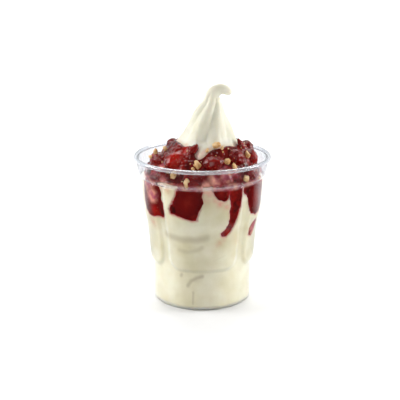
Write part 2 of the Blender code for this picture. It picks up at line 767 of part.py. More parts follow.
def build():
    """Make every piece of the sundae."""
    clear_scene()
    group = new_collection("strawberry_sundae")
    plastic = material("clear_plastic", (0.93, 0.95, 0.96), 0.06, transmission=1.0)
    vanilla = material("soft_serve", (0.80, 0.76, 0.62), 0.42)
    syrup = material("strawberry_sauce", (0.20, 0.010, 0.008), 0.12, coat=0.5)
    fruit = material("strawberry", (0.30, 0.012, 0.010), 0.16, coat=0.5)

    cup = make_cup(group, plastic)
    cream = make_cream()
    sauce = make_sauce_ring()
    boolean(sauce, "UNION", [lobe(*row, 0.0) for row in LOBES])
    boolean(sauce, "INTERSECT", [make_room()])

    berries = []
    pockets = []
    for index, mesh in enumerate(strawberries()):
        pockets.append(add_object("pocket", mesh.copy(), bpy.context.scene.collection))
        swell_mesh(pockets[-1].data, GAP)
        berry = add_object(f"strawberry_{index + 1:02d}", mesh, group, fruit)
        if index < len(WALL_BERRIES):
            boolean(berry, "INTERSECT", [make_room()])
            keep_main_body(berry)
        berries.append(berry)

    hollows = [pocket.copy() for pocket in pockets[: len(WALL_BERRIES)]]
    boolean(sauce, "DIFFERENCE", pockets)
    keep_main_body(sauce)
    boolean(cream, "DIFFERENCE", hollows + [lobe(*row, GAP) for row in LOBES])
    keep_main_body(cream)

    trees = [tree_of(piece) for piece in [cream, cup, *berries]]
    boolean(sauce, "UNION", make_nuts(sauce, trees), "MANIFOLD")
    keep_main_body(sauce)

    for obj, name, mat in ((cream, "soft_serve", vanilla), (sauce, "strawberry_sauce", syrup)):
        bpy.context.scene.collection.objects.unlink(obj)
        group.objects.link(obj)
        obj.name = name
        obj.data.materials.clear()
        obj.data.materials.append(mat)
    for obj in group.objects:
        finish(obj)


build()
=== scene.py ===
"""The looks of a strawberry sundae in a clear cup, in metres with +Z up.

The clear cup, the soft serve, the strawberry sauce, the cut strawberries and the chopped nuts
are made again with their fine forms, each in the place of its CAD node.  The front is towards
-Y.  An azimuth is in degrees from the front, and grows towards +X.
"""

import math
import random

import bmesh
import bpy
import numpy as np
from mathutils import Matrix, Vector, noise
from mathutils.bvhtree import BVHTree


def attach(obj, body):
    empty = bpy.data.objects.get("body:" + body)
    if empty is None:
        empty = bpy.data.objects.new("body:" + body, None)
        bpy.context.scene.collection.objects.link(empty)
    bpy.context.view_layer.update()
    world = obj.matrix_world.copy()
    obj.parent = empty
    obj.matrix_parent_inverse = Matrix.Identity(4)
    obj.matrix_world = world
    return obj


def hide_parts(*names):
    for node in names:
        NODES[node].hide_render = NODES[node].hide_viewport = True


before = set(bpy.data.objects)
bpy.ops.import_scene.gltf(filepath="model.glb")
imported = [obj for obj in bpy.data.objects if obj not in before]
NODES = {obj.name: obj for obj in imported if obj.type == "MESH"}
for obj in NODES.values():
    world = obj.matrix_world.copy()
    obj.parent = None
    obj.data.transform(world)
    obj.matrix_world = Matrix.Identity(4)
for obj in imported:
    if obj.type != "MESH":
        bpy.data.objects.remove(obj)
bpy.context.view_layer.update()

SCENE = bpy.context.scene
MERGE = 0.000002
MM = 0.001
DRAW_SEED = 11

# The camera, fitted to the rim, the sides and the foot of the cup in the photo
PHOTO_PIXELS = 400
SENSOR_MM = 36.0
FOCAL_PIXELS = 1121.2
CAMERA_DISTANCE = 0.76
CAMERA_ELEVATION = 16.14
CAMERA_AIM = Vector((-0.0015, 0.0, 0.0679))
CAMERA_SEES = (0.01, 50.0)

# The clear cup: outside sizes, points as (height, radius), and arcs as (start and end in
# degrees, steps)
CUP_HEIGHT = 0.1
RIM_RADIUS = 0.046
RIM_ROLL = 0.0014
ROLL_ARC = (200.0, -60.0, 22)
ROLL_INNER_ARC = (-60.0, 200.0, 18)
ROLL_WALL = 0.0005
WALL = 0.0007
COLLAR_TOP = (0.097, 0.0445)
LEDGE_TOP = (0.0876, 0.0427)
LEDGE_FOOT = 0.0856
GROOVE_OUTLINE = (
    (0.003, 0.0329), (0.026, 0.0332), (0.034, 0.0339), (0.043, 0.0347), (0.0555, 0.0363),
    (0.064, 0.0382), (0.0856, 0.03995),
)
HEEL = 0.0024
HEEL_ARC = (-15.0, -90.0, 10)
INNER_HEEL_ARC = (-75.0, -20.0, 6)
FOOT_RING = (0.0268, 0.0305)
PUSH_UP = 0.0018
PUSH_UP_RADIUS = 0.0246
CUP_COLUMNS = 256
WALL_ROWS = 84
CORNER_ROUNDING = 0.0006
CORNER_STEPS = 4
WALL_PER_DEGREE = 0.00068

# The raised panels, with angles in radians
PANEL = {
    "Panels": 4.0, "Depth": 0.00145, "Half angle": math.radians(39.5), "Mean radius": 0.037,
    "Foot": 0.0285, "Corner": 0.009, "Slope": 0.0036, "Turn": math.radians(1.0),
    "Fade from": 0.0853, "Fade to": 0.0866,
}

# How far what fills the cup reaches into its wall, so that no gap shows, and the height below
# which, and how near the wall, sauce and fruit are pressed to it
CREAM_REACH = 0.00012
SAUCE_REACH = 0.00018
BERRY_REACH = 0.00026
PRESSED_BELOW = LEDGE_FOOT - 0.0004
SAUCE_WITHIN = 0.0006
BERRY_WITHIN = 0.001

# The soft serve above the ledge: (height along its middle line, radius)
CREAM_OUTLINE = (
    (0.0872, 0.0392), (0.091, 0.0347), (0.0965, 0.0296), (0.102, 0.025), (0.107, 0.021),
    (0.1105, 0.0182), (0.114, 0.0164), (0.118, 0.0148), (0.123, 0.0125), (0.128, 0.0102),
    (0.1335, 0.0074), (0.138, 0.0054), (0.1415, 0.0045), (0.145, 0.0038), (0.1485, 0.0033),
    (0.1515, 0.0028),
)
CREAM_END = 0.1548
PEAK_FROM = 0.107
PEAK_SHIFT = 0.0046
PEAK_SHIFT_OVER = 0.02
HOOK_FROM = 0.1378
HOOK_LEAN = 0.002
HOOK_RADIUS = 0.0062
FLUTES = 6
FLUTE_DEPTH = 0.17
FLUTE_MEAN = 0.8
FLUTE_SOFTNESS = 0.03
FLUTE_FROM = 0.108
FLUTE_FULL = 0.114
FLUTE_TWIST = 1500.0
FLUTE_START = 12.0
FLUTE_FADES = 0.143
CREAM_COLUMNS = 256
CREAM_TOP_ROWS = 150
CREAM_ROW_CROWDING = 0.92
CREAM_WALL_ROWS = 150
CREAM_HEEL_ARC = (-20.0, -75.0, 5)
CREAM_FLOOR_RINGS = (0.6, 0.3, 0.0)
CREAM_RUFFLE = 0.00022
CREAM_RUFFLE_SIZE = 0.0034
CREAM_SMOOTH_TIP = 0.006

# Small swells and hollows on the peak: (azimuth, half width in degrees, and in mm the height,
# its spread and the rise)
SWELLS = (
    (-96, 34, 108.5, 6, 2.6), (-92, 42, 132, 5, 1.3), (-9, 16, 106, 3.6, 3.4),
    (-28, 11, 112, 4.2, 0.5), (-6, 8, 111.5, 4, -0.5), (8, 11, 111, 3.4, 0.5),
    (30, 9, 113, 4.5, -0.6), (48, 12, 112, 3.6, 0.5), (150, 12, 112, 4, 0.5),
    (175, 9, 111.5, 4, -0.5), (-150, 12, 112, 4, 0.5),
)

# Soft folds where the soft serve meets the wall, given in the same way with their depth; the depth
# also darkens the soft serve's colour there as painted shade
FOLDS = (
    (-12, 30, 52.2, 1.4, 0.1), (-12, 12, 43, 1.2, 0.08), (-8, 12, 21.5, 1.4, 0.08),
    (120, 30, 48, 1.4, 0.1), (-130, 26, 56, 1.4, 0.1), (175, 24, 40, 1.4, 0.1),
)
# The fold depth at which a fold's painted shade is darkest
FOLD_DARKEST = 0.0002

# Painted shade along thin creases in the soft serve at the wall, which are not in its shape:
# (half width in mm, strength, points), with the points as (azimuth, height in mm)
CREASE_SHADE_LINES = (
    (2.6, 1.0, ((-17, 17.8), (-13, 21.3), (-6, 23.6), (0, 24.8))),
    (2.2, 0.9, ((-25.5, 24.2), (-24.5, 25.2))),
    (1.4, 0.9, ((-11, 5), (-10.5, 13.5))),
    (3, 0.5, ((-25, 43), (-15, 42.2), (-5, 44), (0, 46))),
    (4.6, 0.8, ((-40, 52.5), (-22, 51), (-6, 51.2), (4, 52.6))),
    (1.2, 0.3, ((12, 36), (26, 39.5))),
    (1.5, 0.7, ((100, 30), (112, 33), (122, 32))),
    (1.5, 0.7, ((-160, 22), (-148, 26), (-140, 26))),
    (1.4, 0.6, ((170, 52), (184, 50), (196, 53))),
)

# Sauce on the cone
SAUCE_TOP = 0.1085
SAUCE_FOOT = 0.0872
SAUCE_THICKNESS = 0.0026
SAUCE_EDGE_SHARE = 0.25
SAUCE_LUMP = 0.7
SAUCE_LUMP_SIZE = 0.0075
SAUCE_VOXEL = 0.00056
SAUCE_SMOOTHING = 3
TOP_RIPPLE = 0.0016
TOP_RIPPLE_PACE = 2.3
TOP_RIPPLE_START = Vector((0.0, 0.0, 4.0))
FOOT_RIPPLE = 0.0008
FOOT_RIPPLE_PACE = 3.1
CREAM_TONGUE = (-14.0, 19.0, 0.006)
RING_COLUMNS = 256
RING_ROWS = 48
RING_SUNK = 0.0008
RING_INNER_STEP = 4
CONE_STEP = 0.0015
CHUNK_SIZE = 0.0052
CHUNK_RISE = 0.0011
CHUNK_CREASE = 0.3
CHUNK_MEAN = 0.6

# Sauce that has run down between the soft serve and the wall, seen from the front: the
# middle azimuth of each run, and its outline as (degrees from the middle, height in mm)
FRONT_RUNS = (
    (-54.0, ((-15, 66), (-17, 76), (-15, 87), (-7, 91), (3, 90.5), (7, 86), (8, 79),
             (12, 74), (14.5, 69), (13.5, 64.5), (2, 63.5), (-8, 63.5))),
    (-14.0, ((-9, 90), (2, 91), (14, 90.5), (14.5, 82), (12, 73), (9, 65.4), (4, 64.6),
             (-8, 67.2), (-18, 68.6), (-19, 71.5), (-15, 76), (-12, 82))),
    (17.0, ((-8.5, 88), (-7, 84), (-2, 79.5), (3, 76.5), (7, 79), (8, 84), (8.5, 88))),
    (32.0, ((-8.5, 88), (-6, 82), (-4.5, 76), (-5, 68), (-6, 61.5), (-9, 58), (-13, 55.6),
            (-12.5, 52.8), (-7, 52.3), (-2.5, 55.5), (0, 59.5), (4, 66.5), (7.5, 75),
            (8.5, 82), (8, 88))),
    (61.0, ((-18.5, 89), (-18.5, 82), (-14, 79), (-10, 76.5), (-9.5, 71), (-7, 65.5),
            (2, 63.5), (10, 64), (15, 69), (16, 78), (14, 87), (4, 91), (-8, 90.5))),
    (64.0, ((-8, 50), (-2, 48.6), (4, 52.5), (7, 58), (3, 59.6), (-3, 57.5), (-7, 53.6))),
)

# Round ones at the sides and the back: (azimuth, in mm the height, half width and half height,
# and the lean in degrees)
BACK_RUNS = (
    (101, 80, 7, 11.5, 8), (136, 76.5, 10.8, 14, -5), (172, 79, 4.4, 16, 10),
    (-155, 78, 10.5, 13, 6), (-117, 80, 6.2, 12, -9),
)
RUN_CORNERS = 14
RUN_CORNER_STRAY = 0.16
RUN_DEPTH = 0.003
RUN_LEAST_DEPTH = 0.0004
RUN_EDGE = 0.0019
RUN_OVERLAP = 0.0005
RUN_WAVER = 0.0007
# Lumps of two sizes, here and on the fruit: (size, how many times finer the small ones are,
# where their draw starts)
RUN_LUMPS = (0.0036, 2.4, 5.0)
RUN_ROWS = (0.048, 0.0915, 0.00055)
RUN_COLUMNS = 440
LEDGE_BAND = 0.0409

# Soft marks on the cup's round, each as (azimuth, height and spread in mm, strength):
# faint stains that the sauce leaves on the soft serve,
STAINS = (
    (22, 50.6, 2.2, 0.34), (18.5, 48.8, 2.6, 0.36), (15.5, 47.4, 2, 0.3), (39, 48, 3, 0.16),
    (-58, 58.8, 3.6, 0.4), (12, 79, 2.6, 0.5), (17, 76.6, 3, 0.6), (23, 73.8, 2.6, 0.5),
    (7, 85, 5, 0.55), (-46, 85, 4.6, 0.5), (-33, 85, 4, 0.34), (4, 79, 3.2, 0.36),
    (-41.5, 68, 1.6, 0.6), (-8, 104.6, 5, 0.52), (120, 64, 4, 0.25), (-136, 62, 4, 0.3),
)
# where the fruit and the sauce are painted paler, partly for paler flesh and partly as a painted
# reflection and highlight,
PALE_AND_SHEEN_SPOTS = (
    (-55, 78, 4.2, 1.6), (-60, 85, 5.6, 0.85), (-58, 94.5, 4, 0.9), (-40, 89, 3.4, 0.9),
    (4, 88, 3.2, 0.9), (12, 91.2, 4.2, 0.75), (25, 94.5, 5.2, 0.85), (37, 94.5, 3.8, 0.85),
    (-28, 95.5, 2.6, 0.7), (66, 88, 3.6, 0.65), (64, 53.5, 5, 1), (20, 53.5, 2.4, 0.5),
    (-80, 99, 4, 0.5), (148, 82, 4, 0.6), (-150, 83, 4, 0.55),
)
# and where they are a brighter red
BRIGHT_SPOTS = (
    (-35, 103, 8, 1), (-52, 68, 4.6, 0.8), (80, 98.5, 6, 0.6), (26, 56, 3.6, 0.8),
    (66, 55, 5, 0.8), (140, 100, 6, 0.7), (-130, 99, 6, 0.7),
)
# A pale band painted on the sauce along the ledge, a painted highlight: (height, spread, strength)
LEDGE_HIGHLIGHT_BAND = (0.0867, 0.0021, 0.74)
STAIN_REACH = 0.0015
STAIN_STRENGTH = 0.6
TOP_STAIN_REACH = 0.0022
TOP_STAIN = 0.36

# Strawberries
BERRY_VOXEL = 0.00042
BERRY_SMOOTHING = 5
BERRY_GRAIN = 0.00022
BERRY_LUMPS = (0.0022, 2.3, 7.0)
CUT_EVEN = 0.995
CUT_EDGE = (0.8, 0.95)
CORE_LENGTH = 0.8
RIPE_STEP = 3.7
RIPE_START = (0.3, 0.9)
SEEDS = {"Spacing": 0.0021, "Length": 0.00045, "Skin below": 0.35, "Seed": DRAW_SEED}
SEED_FORM = (0.62, 1.0, 0.5)
SEED_SIZES = (0.8, 1.15)
SEED_MOST = 900000.0

# Chopped nuts: those seen in the photo, as (pixel across, pixel down, size in metres),
NUTS_SEEN = (
    (161, 151.5, 0.0074), (156, 153.5, 0.0056), (166, 149.5, 0.005), (151.5, 157.5, 0.004),
    (216, 146, 0.0072), (222, 149, 0.0036), (207, 151.5, 0.004), (199, 166, 0.0072),
    (193.5, 168.5, 0.0034), (186.5, 184.5, 0.0082), (174.5, 176, 0.0074), (168, 173, 0.0034),
    (225, 161.5, 0.0062), (233, 167.5, 0.005), (246.5, 155, 0.0056), (246.5, 181, 0.0078),
    (258.5, 178, 0.0044),
)
# and those at the back, which are drawn at random
BACK_NUTS = 24
BACK_AZIMUTHS = (85.0, 280.0)
BACK_HEIGHTS = (0.0892, 0.1055)
NUT_SIZES = (0.0032, 0.0054)
NUT_NUDGES = (0.0, 0.0018, -0.0018, 0.0036, -0.0036)
NUT_STANDS_MORE = 0.0002
NUT_SHOWS = 0.3
NUT_RISE = 0.24
NUT_REACH = 0.32
NUT_GAP = 0.00005
RAY_START = 0.02
CRUMBS = 70
CRUMB_SIZES = (0.0009, 0.0019)
CRUMB_HEIGHTS = (0.089, 0.107)
NUT_SHAPES = 6
NUT_FORMS = ((1.1, 0.85, 0.65), (1.15, 0.75, 0.6), (1.0, 0.95, 0.75), (1.1, 0.7, 0.7))
NUTS = {"Roughening": 0.001, "Roughening size": 0.0016, "Corners": 14, "Seed": DRAW_SEED}
NUT_SMOOTHING = 2
NUT_SHARPNESS = 0.3

# The table, and soft boxes: (name, place, width, height, power in watts, spread in degrees).
# A box points at the sundae, or down at the table if it is one of TABLE_LIGHTS
TABLE_GAP = 0.0001
TABLE_X = (-3.0, 3.0)
TABLE_Y = (-3.0, 4.0)
TABLE_CLOSE = (0.085, 0.12)
TABLE_BEHIND = (0.04, 0.16)
LIGHTS_AIM = Vector((0.0, 0.0, 0.07))
LIGHTS = (
    ("left", (-0.85, 0.05, 0.4), 0.45, 0.45, 6.0, 180.0),
    ("right", (0.85, 0.05, 0.4), 0.45, 0.45, 5.8, 180.0),
    ("front", (0.1, -1.1, 0.4), 0.8, 0.4, 3.5, 180.0),
    ("top", (-0.1, 0.45, 1.15), 0.6, 0.5, 3.0, 180.0),
)
TABLE_LIGHTS = (
    ("background", (0.0, 2.1, 1.6), 1.6, 1.2, 33.0, 125.0),
    ("table left", (-2.3, 0.0, 1.6), 1.6, 2.4, 40.0, 100.0),
    ("table right", (2.3, 0.0, 1.6), 1.6, 2.4, 40.0, 100.0),
)
# The room is dim in front and bright behind, between two shares of the way back
WORLD_DIM = 0.25
WORLD_BRIGHT = 0.75
WORLD_EDGE = (0.0, 0.5)

# Kinds of node that are used often
ATTRIBUTE = "ShaderNodeAttribute"
BUMP = "ShaderNodeBump"
MATHS = "ShaderNodeMath"
MIX = "ShaderNodeMix"
NOISE = "ShaderNodeTexNoise"
PRINCIPLED = "ShaderNodeBsdfPrincipled"
RAMP = "ShaderNodeValToRGB"
RANDOM = "FunctionNodeRandomValue"
RANGE = "ShaderNodeMapRange"
REALISE = "GeometryNodeRealizeInstances"
VECTORS = "ShaderNodeVectorMath"


# ---- forms


def smoothstep(low, high, value):
    """0 below low, 1 above high, and an even slope between."""
    share = np.clip((value - low) / (high - low), 0.0, 1.0)
    return share * share * (3.0 - 2.0 * share)


def bell(value, middle, spread):
    """1 at the middle, falling softly to both sides."""
    return np.exp(-((value - middle) / spread) ** 2)


def smooth_outline(outline, heights):
    """Radii at heights, on a smooth curve through an outline."""
    rise, radius = np.array(outline).T
    step = np.diff(rise)
    slope = np.diff(radius) / step
    inner = 2.0 * slope[1:] * slope[:-1] / (slope[1:] + slope[:-1])
    tangent = np.concatenate(([slope[0]], inner, [slope[-1]]))
    heights = np.clip(heights, rise[0], rise[-1])
    span = np.clip(np.searchsorted(rise, heights) - 1, 0, len(step) - 1)
    share = (heights - rise[span]) / step[span]
    far = smoothstep(0.0, 1.0, share)
    leave = share * (1.0 - share) ** 2 * step[span]
    arrive = share * share * (share - 1.0) * step[span]
    ends = (1.0 - far) * radius[span] + far * radius[span + 1]
    return ends + leave * tangent[span] + arrive * tangent[span + 1]


def turn_apart(azimuth, middle):
    """Degrees between azimuths, from -180 to 180."""
    return (azimuth - middle + 180.0) % 360.0 - 180.0


def hump(azimuth, middle, half_width):
    """1 at the middle azimuth, falling to 0 about a half width away."""
    return np.exp(-2.0 * (turn_apart(azimuth, middle) / half_width) ** 2)


def swelled(azimuth, height, swells):
    """How far soft swells or folds move a surface at places on it."""
    return sum(
        most * MM * hump(azimuth, middle, half_width) * bell(height, level * MM, spread * MM)
        for middle, half_width, level, spread, most in swells
    )


def azimuths(places):
    """The azimuth of each place."""
    return np.degrees(np.arctan2(places[:, 0], -places[:, 1]))


def round_axis(azimuth, radius, height):
    """Points round the cup's axis, with the coordinates last."""
    angle, radius, height = np.broadcast_arrays(np.radians(azimuth), radius, height)
    return np.stack((np.sin(angle) * radius, -np.cos(angle) * radius, height), axis=-1)


def whole_turn(columns, start=0.0):
    """Even azimuths once round, as a row."""
    return np.linspace(start, start + 360.0, columns, endpoint=False)[None, :]


def draws(points, size, start=0.0):
    """Smooth random numbers from -1 to 1, for lumps of one size."""
    flat = points.reshape(-1, 3) / size + start
    return np.array([noise.noise(point) for point in flat]).reshape(points.shape[:-1])


def lumps(points, size, finer, start):
    """The same, with finer lumps at half their strength."""
    return draws(points, size) + 0.5 * draws(points, size / finer, start)


def panel_relief(azimuth, height):
    """How far the wall stands out from the groove outline."""
    half_pitch = math.pi / PANEL["Panels"]
    turned = np.radians(azimuth) - PANEL["Turn"] + half_pitch
    across = np.abs(turned % (2.0 * half_pitch) - half_pitch)
    side = (PANEL["Half angle"] - across) * PANEL["Mean radius"]
    short_side = np.maximum(PANEL["Corner"] - side, 0.0)
    short_foot = np.maximum(PANEL["Corner"] - (height - PANEL["Foot"]), 0.0)
    inside = PANEL["Corner"] - np.hypot(short_side, short_foot)
    share = smoothstep(-PANEL["Slope"] / 2.0, PANEL["Slope"] / 2.0, inside)
    fade = 1.0 - smoothstep(PANEL["Fade from"], PANEL["Fade to"], height)
    return PANEL["Depth"] * share * fade


def inner_wall(azimuth, height):
    """The radius of the cup's inner surface below the ledge."""
    return smooth_outline(GROOVE_OUTLINE, height) - WALL + panel_relief(azimuth, height)


def inner_collar(azimuth, height):
    """The same from the foot of the ledge to the collar's top."""
    heights, radii = zip((LEDGE_FOOT, GROOVE_OUTLINE[-1][1]), LEDGE_TOP, COLLAR_TOP)
    return np.interp(height, heights, radii) - WALL + panel_relief(azimuth, height)


def arc(centre, radius, start, end, steps):
    """Points of an arc, as (radius from the axis, height)."""
    angles = np.radians(np.linspace(start, end, steps + 1))
    return list(zip(centre[0] + radius * np.cos(angles), centre[1] + radius * np.sin(angles)))


def softened(corners):
    """An open outline with each inner corner rounded off."""
    points = [corners[0]]
    for before, corner, after in zip(corners, corners[1:], corners[2:]):
        middle = Vector(corner)
        back, ahead = Vector(before) - middle, Vector(after) - middle
        back *= min(CORNER_ROUNDING, back.length / 2.0) / back.length
        ahead *= min(CORNER_ROUNDING, ahead.length / 2.0) / ahead.length
        for share in np.linspace(0.0, 1.0, CORNER_STEPS + 1):
            points.append(tuple(middle + back * (1.0 - share) ** 2 + ahead * share**2))
    points.append(corners[-1])
    return points


# ---- meshes


def add_object(name, mesh):
    """Put a mesh in the scene as an object at the origin."""
    obj = bpy.data.objects.new(name, mesh)
    SCENE.collection.objects.link(obj)
    return obj


def applied(obj):
    """Turn what an object's modifiers make into its own plain mesh."""
    bpy.context.view_layer.update()
    graph = bpy.context.evaluated_depsgraph_get()
    mesh = bpy.data.meshes.new_from_object(obj.evaluated_get(graph), depsgraph=graph)
    obj.modifiers.clear()
    obj.data = mesh
    return obj


def vectors(items, name):
    """One vector of each of a mesh's items, as an array."""
    values = np.empty(len(items) * 3, np.float32)
    items.foreach_get(name, values)
    return values.reshape(-1, 3).astype(float)


def set_radius(mesh, places, radius):
    """Move a mesh's vertices to places, at new radii."""
    share = radius / np.maximum(np.hypot(places[:, 0], places[:, 1]), MERGE)
    places = places * np.stack((share, share, np.ones_like(share)), axis=-1)
    mesh.vertices.foreach_set("co", places.astype(np.float32).ravel())
    mesh.update()


def mark(mesh, **marks):
    """Keep named numbers at a mesh's vertices, for nodes to read."""
    for name, values in marks.items():
        attribute = mesh.attributes.new(name, "FLOAT", "POINT")
        attribute.data.foreach_set("value", np.asarray(values, np.float32).ravel())


def finish_piece(obj, material, slot, *replaced):
    """Give a piece its material, its body and the nodes it stands for; its slot is not used."""
    obj.data.shade_smooth()
    obj.data.materials.clear()
    obj.data.materials.append(material)
    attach(obj, "root")
    if replaced:
        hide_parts(*replaced)
    return obj


def joined(name, meshes, merge=False, outwards=False):
    """Several meshes as one, mended where asked."""
    shape = bmesh.new()
    for mesh in meshes:
        shape.from_mesh(mesh)
    if merge:
        bmesh.ops.remove_doubles(shape, verts=shape.verts, dist=MERGE)
    if outwards:
        bmesh.ops.recalc_face_normals(shape, faces=shape.faces)
    result = bpy.data.meshes.new(name)
    shape.to_mesh(result)
    shape.free()
    return result


def mesh_from(name, points, faces, edges=()):
    """A mesh of the given points and faces or edges."""
    mesh = bpy.data.meshes.new(name)
    mesh.from_pydata(points, edges, faces)
    return mesh


def grid_faces(rows, columns, closed_rows=False):
    """The faces between rows of points that each go round."""
    index = np.arange(rows * columns).reshape(rows, columns)
    upper = index if closed_rows else index[:-1]
    lower = np.roll(index, -1, axis=0) if closed_rows else index[1:]
    corners = (upper, np.roll(upper, -1, axis=1), np.roll(lower, -1, axis=1), lower)
    return np.stack(corners, axis=-1).reshape(-1, 4)


def closed_grid(name, points, closed_rows=False):
    """A mesh over rows of points that each go round, with its poles merged."""
    faces = grid_faces(*points.shape[:2], closed_rows)
    mesh = mesh_from(name, points.reshape(-1, 3).tolist(), faces.tolist())
    return joined(name, [mesh], merge=True, outwards=True)


def remeshed(obj, voxel, smoothing):
    """An object's mesh made again of even faces, and smoothed."""
    remesh = obj.modifiers.new("Even faces", "REMESH")
    remesh.mode = "VOXEL"
    remesh.voxel_size = voxel
    smooth = obj.modifiers.new("Smooth", "SMOOTH")
    smooth.iterations = smoothing
    smooth.factor = 0.5
    return applied(obj)


def surface_tree(mesh):
    """A search tree of a mesh's surface."""
    shape = bmesh.new()
    shape.from_mesh(mesh)
    tree = BVHTree.FromBMesh(shape)
    shape.free()
    return tree


# ---- nodes


def linear(colour):
    """An sRGB hex colour or a linear grey, as linear channels."""
    if not isinstance(colour, str):
        return (colour, colour, colour, 1.0)
    channels = [int(colour[place:place + 2], 16) / 255.0 for place in (0, 2, 4)]
    return tuple(
        part / 12.92 if part <= 0.04045 else ((part + 0.055) / 1.055) ** 2.4
        for part in channels
    ) + (1.0,)


def adder(tree):
    """The function that adds nodes to a tree."""
    def add(kind, inputs=None, stops=(), **settings):
        """Add a node with its settings, ramp stops, values and links, and give its outputs."""
        item = tree.nodes.new(kind)
        for name, value in settings.items():
            setattr(item, name, value)
        for key, value in (inputs or {}).items():
            socket = item.inputs[key]
            for part in value if isinstance(value, list) else [value]:
                if isinstance(part, bpy.types.NodeSocket):
                    tree.links.new(part, socket)
                else:
                    socket.default_value = linear(part) if socket.type == "RGBA" else part
        elements = item.color_ramp.elements if stops else []
        while len(elements) < len(stops):
            elements.new(0.5)
        for element, (place, colour) in zip(elements, stops):
            element.position, element.color = place, linear(colour)
        return item.outputs
    return add


def per_metre(millimetres):
    """The scale of a pattern whose patches are so many millimetres across."""
    return 1000.0 / millimetres


def new_material(name, *marks):
    """An empty material, what adds its nodes, the place that patterns read, and its marks."""
    material = bpy.data.materials.new(name)
    material.use_nodes = True
    material.node_tree.nodes.clear()
    add = adder(material.node_tree)
    read = [add(ATTRIBUTE, attribute_name=mark)["Fac"] for mark in marks]
    return material, add, add("ShaderNodeTexCoord")["Object"], *read


def finish_material(add, inputs):
    """End a material in one Principled shader, with its even values."""
    shader = add(PRINCIPLED, {"Subsurface Scale": 1.0, **inputs})["BSDF"]
    add("ShaderNodeOutputMaterial", {"Surface": shader})


def off_the_wall(add, level):
    """A shine that is lost at the wall, where no air is left between."""
    pressed = add(ATTRIBUTE, attribute_name="pressed")["Fac"]
    return add(RANGE, {0: pressed, 3: level, 4: 0.0})[0]


def finish_red(add, place, colour, inputs):
    """End a wet red: brighter or patchily paler where it is marked, the paler part being partly
    paler flesh and partly painted reflection and highlight, and dull at the wall.
    """
    bright, pale = (add(ATTRIBUTE, attribute_name=name)["Fac"] for name in ("bright", "pale"))
    vivid = add(RANGE, {0: bright, 1: 0.2, 4: 0.8})[0]
    colour = add(MIX, {0: vivid, 6: colour, 7: "B81E14"}, data_type="RGBA")[2]
    patches = add(NOISE, {"Vector": place, "Scale": per_metre(5.263)})["Fac"]
    uneven = add(MATHS, {0: pale, 1: patches}, operation="MULTIPLY")[0]
    share = add(RANGE, {0: uneven, 1: 0.06, 2: 0.48, 4: 0.95})[0]
    # pale colour for paler flesh, also used as painted reflection and highlight
    flesh = add(RAMP, {0: patches}, ((0.4, "BC6676"), (0.6, "DD9A84")))[0]
    finish_material(add, {
        "Base Color": add(MIX, {0: share, 6: colour, 7: flesh}, data_type="RGBA")[2],
        "Specular IOR Level": off_the_wall(add, 0.3),
        "Coat Weight": off_the_wall(add, 0.1),
        **inputs,
    })


# ---- materials


def clear_plastic():
    """Clear PET, thermoformed: faintly grey, more so edge on, with waves where it was drawn.

    It is hazy where it was drawn over the ledge, and where the rim was heated and rolled.
    """
    material, add, place = new_material("clear_pet_thermoformed")
    waves = add(NOISE, {"Vector": place, "Scale": per_metre(18.18), "Detail": 1.0})["Fac"]
    edge_on = add("ShaderNodeLayerWeight", {"Blend": 0.5})["Facing"]
    up = add("ShaderNodeSeparateXYZ", {0: place})["Z"]
    share_up = add(MATHS, {0: up, 1: CUP_HEIGHT}, operation="DIVIDE")[0]
    tint = ((0.2, "F0F2F5"), (0.5, "E3E7EC"), (0.85, "D2D6DC"))
    shader = add(PRINCIPLED, {
        "Base Color": add(RAMP, {0: edge_on}, tint)[0],
        "Transmission Weight": add(RAMP, {0: share_up}, (
            (0.845, 1.0), (0.858, 0.93), (0.876, 0.93), (0.89, 1.0), (0.966, 1.0), (0.976, 0.93),
        ))[0],
        "Roughness": add(RANGE, {0: waves, 1: 0.3, 2: 0.7, 3: 0.02, 4: 0.06})[0],
        "Normal": add(BUMP, {"Height": waves, "Strength": 0.05, "Distance": 0.001})[0],
        "IOR": 1.5,
        "Specular IOR Level": 0.12,
    })["BSDF"]
    open_way = add("ShaderNodeBsdfTransparent", {"Color": "F4F5F6"})[0]
    is_shadow = add("ShaderNodeLightPath")["Is Shadow Ray"]
    mix = add("ShaderNodeMixShader", {0: is_shadow, 1: shader, 2: open_way})[0]
    add("ShaderNodeOutputMaterial", {"Surface": mix})
    return material


